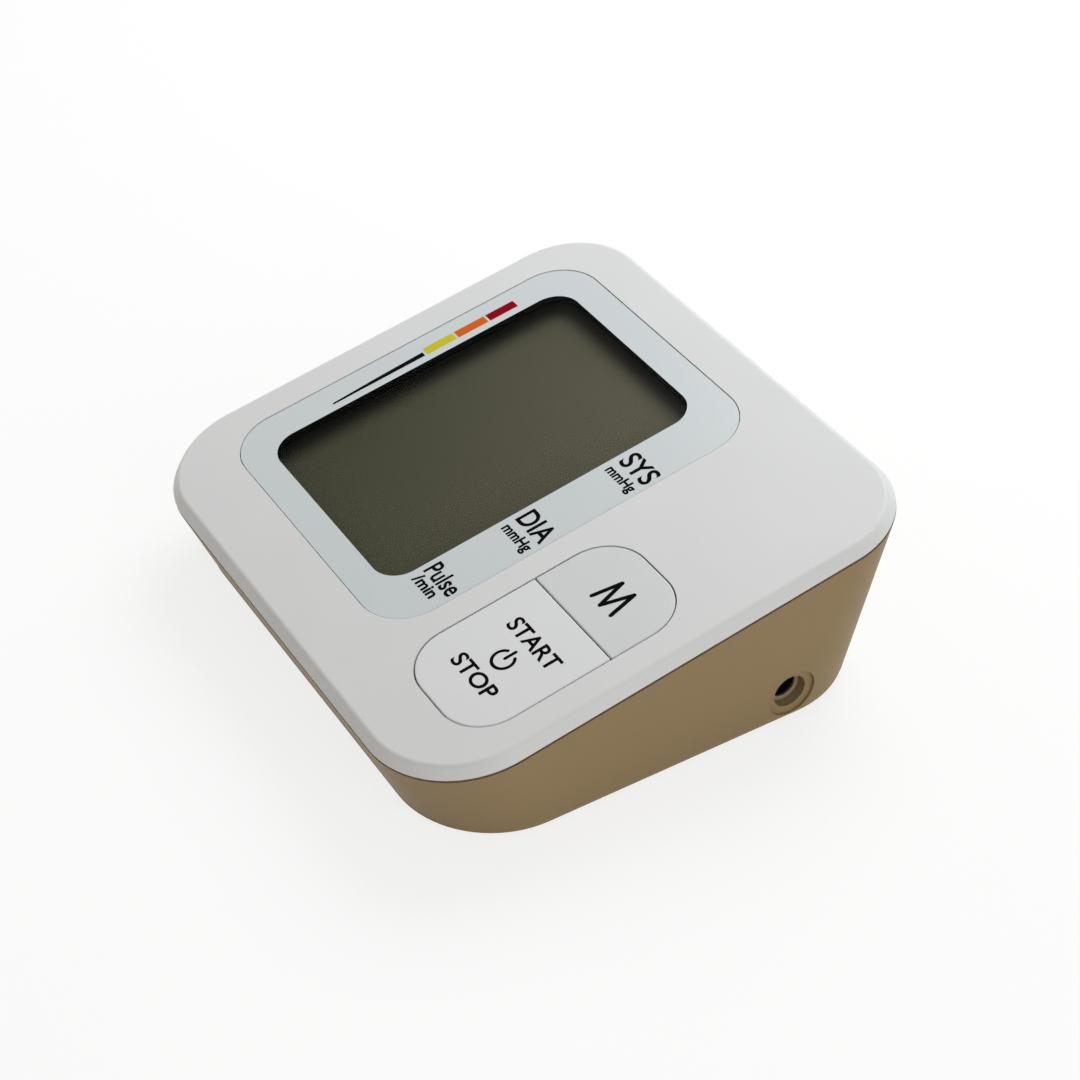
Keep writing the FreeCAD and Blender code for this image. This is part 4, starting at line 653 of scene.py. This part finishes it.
def cross_screw(head_radius, head_height, shank_radius, length):
    """Pan-head screw with a cross recess, in millimetres; its head's face is at 0 and looks down."""
    # radius and height of each ring: rounded head, thread, tip
    rings = [(share * head_radius, height) for share, height in SCREW_CROWN]
    rings += [(head_radius, head_height), (shank_radius, head_height)]
    for i in range(int((length - head_height - SCREW_TIP) / SCREW_PITCH)):
        foot = head_height + SCREW_PITCH * i
        rings += [(shank_radius, foot + CREST_START), (SCREW_GROOVE * shank_radius, foot + 0.5 * SCREW_PITCH),
                  (shank_radius, foot + SCREW_PITCH - CREST_END)]
    rings.append((SCREW_POINT * shank_radius, length))
    reach, half, depth = CROSS_REACH * head_radius, CROSS_HALF * head_radius, CROSS_DEPTH * head_height
    quarter = [(half, half), (reach, half), (reach, -half)]
    cross = [(x * cos(t) + y * sin(t), y * cos(t) - x * sin(t))
             for t in (radians(90 * i) for i in range(4)) for x, y in quarter]
    screw = bmesh.new()
    mouth = [screw.verts.new((x, y, 0)) for x, y in cross]
    pit = [screw.verts.new((CROSS_FOOT * x, CROSS_FOOT * y, depth)) for x, y in cross]
    last = radians(360 - 360 / SCREW_SIDES)
    loops = [[screw.verts.new((x, y, z)) for x, y in arc(r, 0, last, SCREW_SIDES)] for r, z in rings]
    for near, far in [(mouth, pit), *zip(loops, loops[1:])]:
        bridge(screw, near, far)
    screw.faces.new(pit)
    screw.faces.new(loops[-1])
    rim = [screw.edges.get((loop[i], loop[(i + 1) % len(loop)])) for loop in (mouth, loops[0])
           for i in range(len(loop))]
    bmesh.ops.triangle_fill(screw, use_beauty=True, edges=rim)
    bmesh.ops.recalc_face_normals(screw, faces=screw.faces)
    return screw


def case_screws():
    """Four cross-head screws at the places of the CAD screws."""
    points = on_panel("case_screws")
    low, high = panel_box("case_screws")
    places = []
    for side in (-1, 1):
        for row in (-1, 1):
            near = [point for point in points if point.x * side > 0 and point.y * row > 0]
            edges = [(min(p[axis] for p in near) + max(p[axis] for p in near)) / 2 for axis in (0, 1)]
            places.append(PANEL @ (Vector((*edges, low.z)) * MM))
    width = max(p.x for p in near) - min(p.x for p in near)
    screw = cross_screw(width / 2, SCREW_HEAD, SCREW_SHANK, high.z - low.z)
    bmesh.ops.transform(screw, matrix=PANEL.to_3x3().to_4x4() @ Matrix.Scale(MM, 4), verts=screw.verts)
    single = put("screw", drafted_mesh("screw", screw))
    pattern = Pattern("screws_at_posts", {"Screw": "NodeSocketObject"})
    shown = pattern.node("GeometryNodeObjectInfo", {}, {"Object": pattern.given("Screw")}, "Geometry")
    copies = pattern.node("GeometryNodeInstanceOnPoints", {},
                          {"Points": pattern.given("Geometry"), "Instance": shown})
    pattern.end(copies, zinc)
    posts = bpy.data.meshes.new("posts")
    posts.from_pydata(places, [], [])
    mesh = pattern.made("cross_head_screws", posts, {"Screw": single})
    bpy.data.objects.remove(single)
    return mesh


RIBS = {"Length": 18 * MM, "Radius": 0.45 * MM, "Count": 6, "Spacing": 1.8 * MM}
RIBS_INSET, RIBS_SINK = 16 * MM, 0.1 * MM   # from the door's rear edge, into its face


def grip_ridges():
    """Round ribs across the battery door, by its latch, half sunk in its face."""
    low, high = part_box("battery_door")
    pattern = Pattern("ribs_in_a_row", {"Length": "NodeSocketFloat", "Radius": "NodeSocketFloat",
                                        "Count": "NodeSocketInt", "Spacing": "NodeSocketFloat"})
    reach = 0.5 * pattern.given("Length")
    ends = [pattern.node("ShaderNodeCombineXYZ", {}, [value, 0.0, 0.0]) for value in (-1 * reach, reach)]
    line = pattern.node("GeometryNodeCurvePrimitiveLine", {}, {"Start": ends[0], "End": ends[1]})
    round_bar = {"Resolution": 16, "Radius": pattern.given("Radius")}
    ring = pattern.node("GeometryNodeCurvePrimitiveCircle", {}, round_bar)
    swept = {"Curve": line, "Profile Curve": ring, "Fill Caps": True}
    rib = pattern.node("GeometryNodeCurveToMesh", {}, swept)
    step = pattern.node("ShaderNodeCombineXYZ", {}, [0.0, pattern.given("Spacing"), 0.0])
    row = pattern.node("GeometryNodeMeshLine", {}, {"Count": pattern.given("Count"), "Offset": step})
    copies = pattern.node("GeometryNodeInstanceOnPoints", {}, {"Points": row, "Instance": rib})
    first = Vector(((low[0] + high[0]) / 2, high[1] - RIBS_INSET, low[2] + RIBS_SINK))
    moved = pattern.node("GeometryNodeTransform", {}, {"Geometry": copies, "Translation": first})
    pattern.end(moved, case_satin)
    return pattern.made("door_grip", bpy.data.meshes.new("door_grip_base"), RIBS)


COLLAR_RADIUS, COLLAR_ROOM, COLLAR_BORE = 3.78, 3.4, 2.8
COLLAR_DEPTH, COLLAR_LIP, COLLAR_EDGE, COLLAR_SIDES = 1.2, 0.4, 0.15, 64


def inlet_collar():
    """Thin ring in the hole of the right wall, on the nose of the power inlet and around its pin."""
    pin_low, pin_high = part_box("power_inlet_pin")
    middle = [(pin_low[axis] + pin_high[axis]) / 2 for axis in (1, 2)]
    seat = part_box("power_inlet")[1][0]
    face, rim, back = COLLAR_DEPTH, COLLAR_DEPTH - COLLAR_EDGE, COLLAR_DEPTH - COLLAR_LIP
    outline = [(0, COLLAR_RADIUS), (rim, COLLAR_RADIUS), (face, COLLAR_RADIUS - COLLAR_EDGE),
               (face, COLLAR_BORE + COLLAR_EDGE), (rim, COLLAR_BORE), (back, COLLAR_BORE),
               (back, COLLAR_ROOM), (0, COLLAR_ROOM)]
    turns = [radians(360 * i / COLLAR_SIDES) for i in range(COLLAR_SIDES)]
    ring = bmesh.new()
    loops = [[ring.verts.new((seat + x * MM, middle[0] + r * MM * cos(turn), middle[1] + r * MM * sin(turn)))
              for turn in turns] for x, r in outline]
    for near, far in zip(loops, loops[1:] + loops[:1]):
        bridge(ring, near, far)
    bmesh.ops.recalc_face_normals(ring, faces=ring.faces)
    return drafted_mesh("inlet_collar", ring)


collar_satin = plastic("collar_satin", shade(143, 129, 102), 0.45)
piece("inlet_collar", inlet_collar(), collar_satin, "housing")
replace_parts(piece("cross_head_screws", case_screws(), zinc, "housing"), "case_screws")
piece("door_grip", grip_ridges(), case_satin, "door")


# ---------------------------------------------------------------- light, floor and camera
def seen_directly(tree):
    """1 for rays of the camera, of a mirror or through glass, 0 for light on the piece."""
    path = tree.node("ShaderNodeLightPath", {}, {})
    camera_ray, gloss, glass = [path.other(f"Is {kind} Ray") for kind in ("Camera", "Glossy", "Transmission")]
    return camera_ray.at_least(gloss).at_least(glass)


WHITE = (1, 1, 1, 1)
SKY, SKY_STRENGTH = (1.0, 0.99, 0.965, 1.0), 0.38


def studio():
    """World that lights the piece in a warm white, and is plain white where it is seen."""
    world = bpy.data.worlds.new("studio")
    bpy.context.scene.world = world
    world.use_nodes = True
    tree = Tree(world.node_tree)
    ends = world.node_tree.nodes
    ends.remove(ends["Background"])
    light, backdrop = [tree.node("ShaderNodeBackground", {}, {"Color": colour, "Strength": strength})
                       for colour, strength in ((SKY, SKY_STRENGTH), (WHITE, 1.0))]
    mixed = tree.node("ShaderNodeMixShader", {}, {0: seen_directly(tree), 1: light, 2: backdrop})
    tree.feed(ends["World Output"].inputs["Surface"], mixed)


FADE_FROM, FADE_TO = 250.0, 700.0           # the floor turns plain white between these distances
FLOOR_GLOW = 0.8                            # share of plain white in the floor near the piece
FLOOR_REACH = 3.0


def floor():
    """Pale floor that keeps the piece's shadow and turns plain white further off."""
    finish = Finish("floor_white")
    place = finish.place()
    x, y, _ = finish.split(place)
    away = (x * x + y * y).step(FADE_FROM ** 2, FADE_TO ** 2)
    clouds = finish.noise(place, 60.0, 2.0)
    finish.set(Base_Color=finish.mix(clouds, (0.86, 0.86, 0.86, 1), (0.9, 0.9, 0.9, 1)), Roughness=0.9)
    glow = finish.node("ShaderNodeEmission", {}, {"Color": WHITE, "Strength": 1.0})
    plain = Wire(finish, finish.shader.outputs[0])
    share = (FLOOR_GLOW + (1 - FLOOR_GLOW) * away) * seen_directly(finish)
    mixed = finish.node("ShaderNodeMixShader", {}, {0: share, 1: plain, 2: glow})
    finish.feed(finish.output.inputs["Surface"], mixed)
    mesh = bpy.data.meshes.new("floor")
    corners = [(x * FLOOR_REACH, y * FLOOR_REACH, 0) for x, y in ((-1, -1), (1, -1), (1, 1), (-1, 1))]
    mesh.from_pydata(corners, [], [(0, 1, 2, 3)])
    mesh.materials.append(finish.material)
    put("floor", mesh)


LAMP_AIM = Vector((0, 0, 0.02))
# place, width, power and colour of each lamp
LAMPS = {
    "key_light": ((-0.22, 0.36, 0.48), 0.5, 3.15, (0.985, 0.995, 1.0)),
    "fill_light": ((0.8, 0.05, 0.3), 0.6, 2.25, (1.0, 0.99, 0.975)),
    "side_light": ((-0.8, -0.1, 0.25), 0.6, 0.6, (1.0, 1.0, 0.98)),
    "warm_light": ((0.1, -0.8, 0.15), 0.5, 0.3, (1.0, 0.45, 0.1)),
}


def soft_light(name, place, size, power, colour):
    """Round lamp that looks at the piece."""
    lamp = bpy.data.lights.new(name, "AREA")
    lamp.shape = "DISK"
    lamp.size = size
    lamp.energy = power
    lamp.color = colour
    obj = put(name, lamp)
    obj.location = place
    obj.rotation_euler = (LAMP_AIM - Vector(place)).to_track_quat("-Z", "Y").to_euler()


CAMERA_PLACE = (0.33978, -0.20101, 0.34095)
CAMERA_RIGHT = Vector((0.521869, 0.853008, -0.004043))
CAMERA_LOOK = Vector((-0.660422, 0.401030, -0.634838))
LENS, SENSOR, CLIP_START = 80.387, 36.0, 0.01


def camera():
    """Camera at the front right, above the piece."""
    data = bpy.data.cameras.new("camera")
    data.sensor_width = SENSOR
    data.lens = LENS
    data.clip_start = CLIP_START
    right, look = CAMERA_RIGHT.normalized(), CAMERA_LOOK.normalized()
    turn = Matrix((right, right.cross(look), -look)).transposed().to_4x4()
    obj = put("camera", data)
    obj.matrix_world = Matrix.Translation(CAMERA_PLACE) @ turn
    bpy.context.scene.camera = obj


studio()
floor()
for name, settings in LAMPS.items():
    soft_light(name, *settings)
camera()
bpy.context.scene.view_settings.view_transform = "Standard"
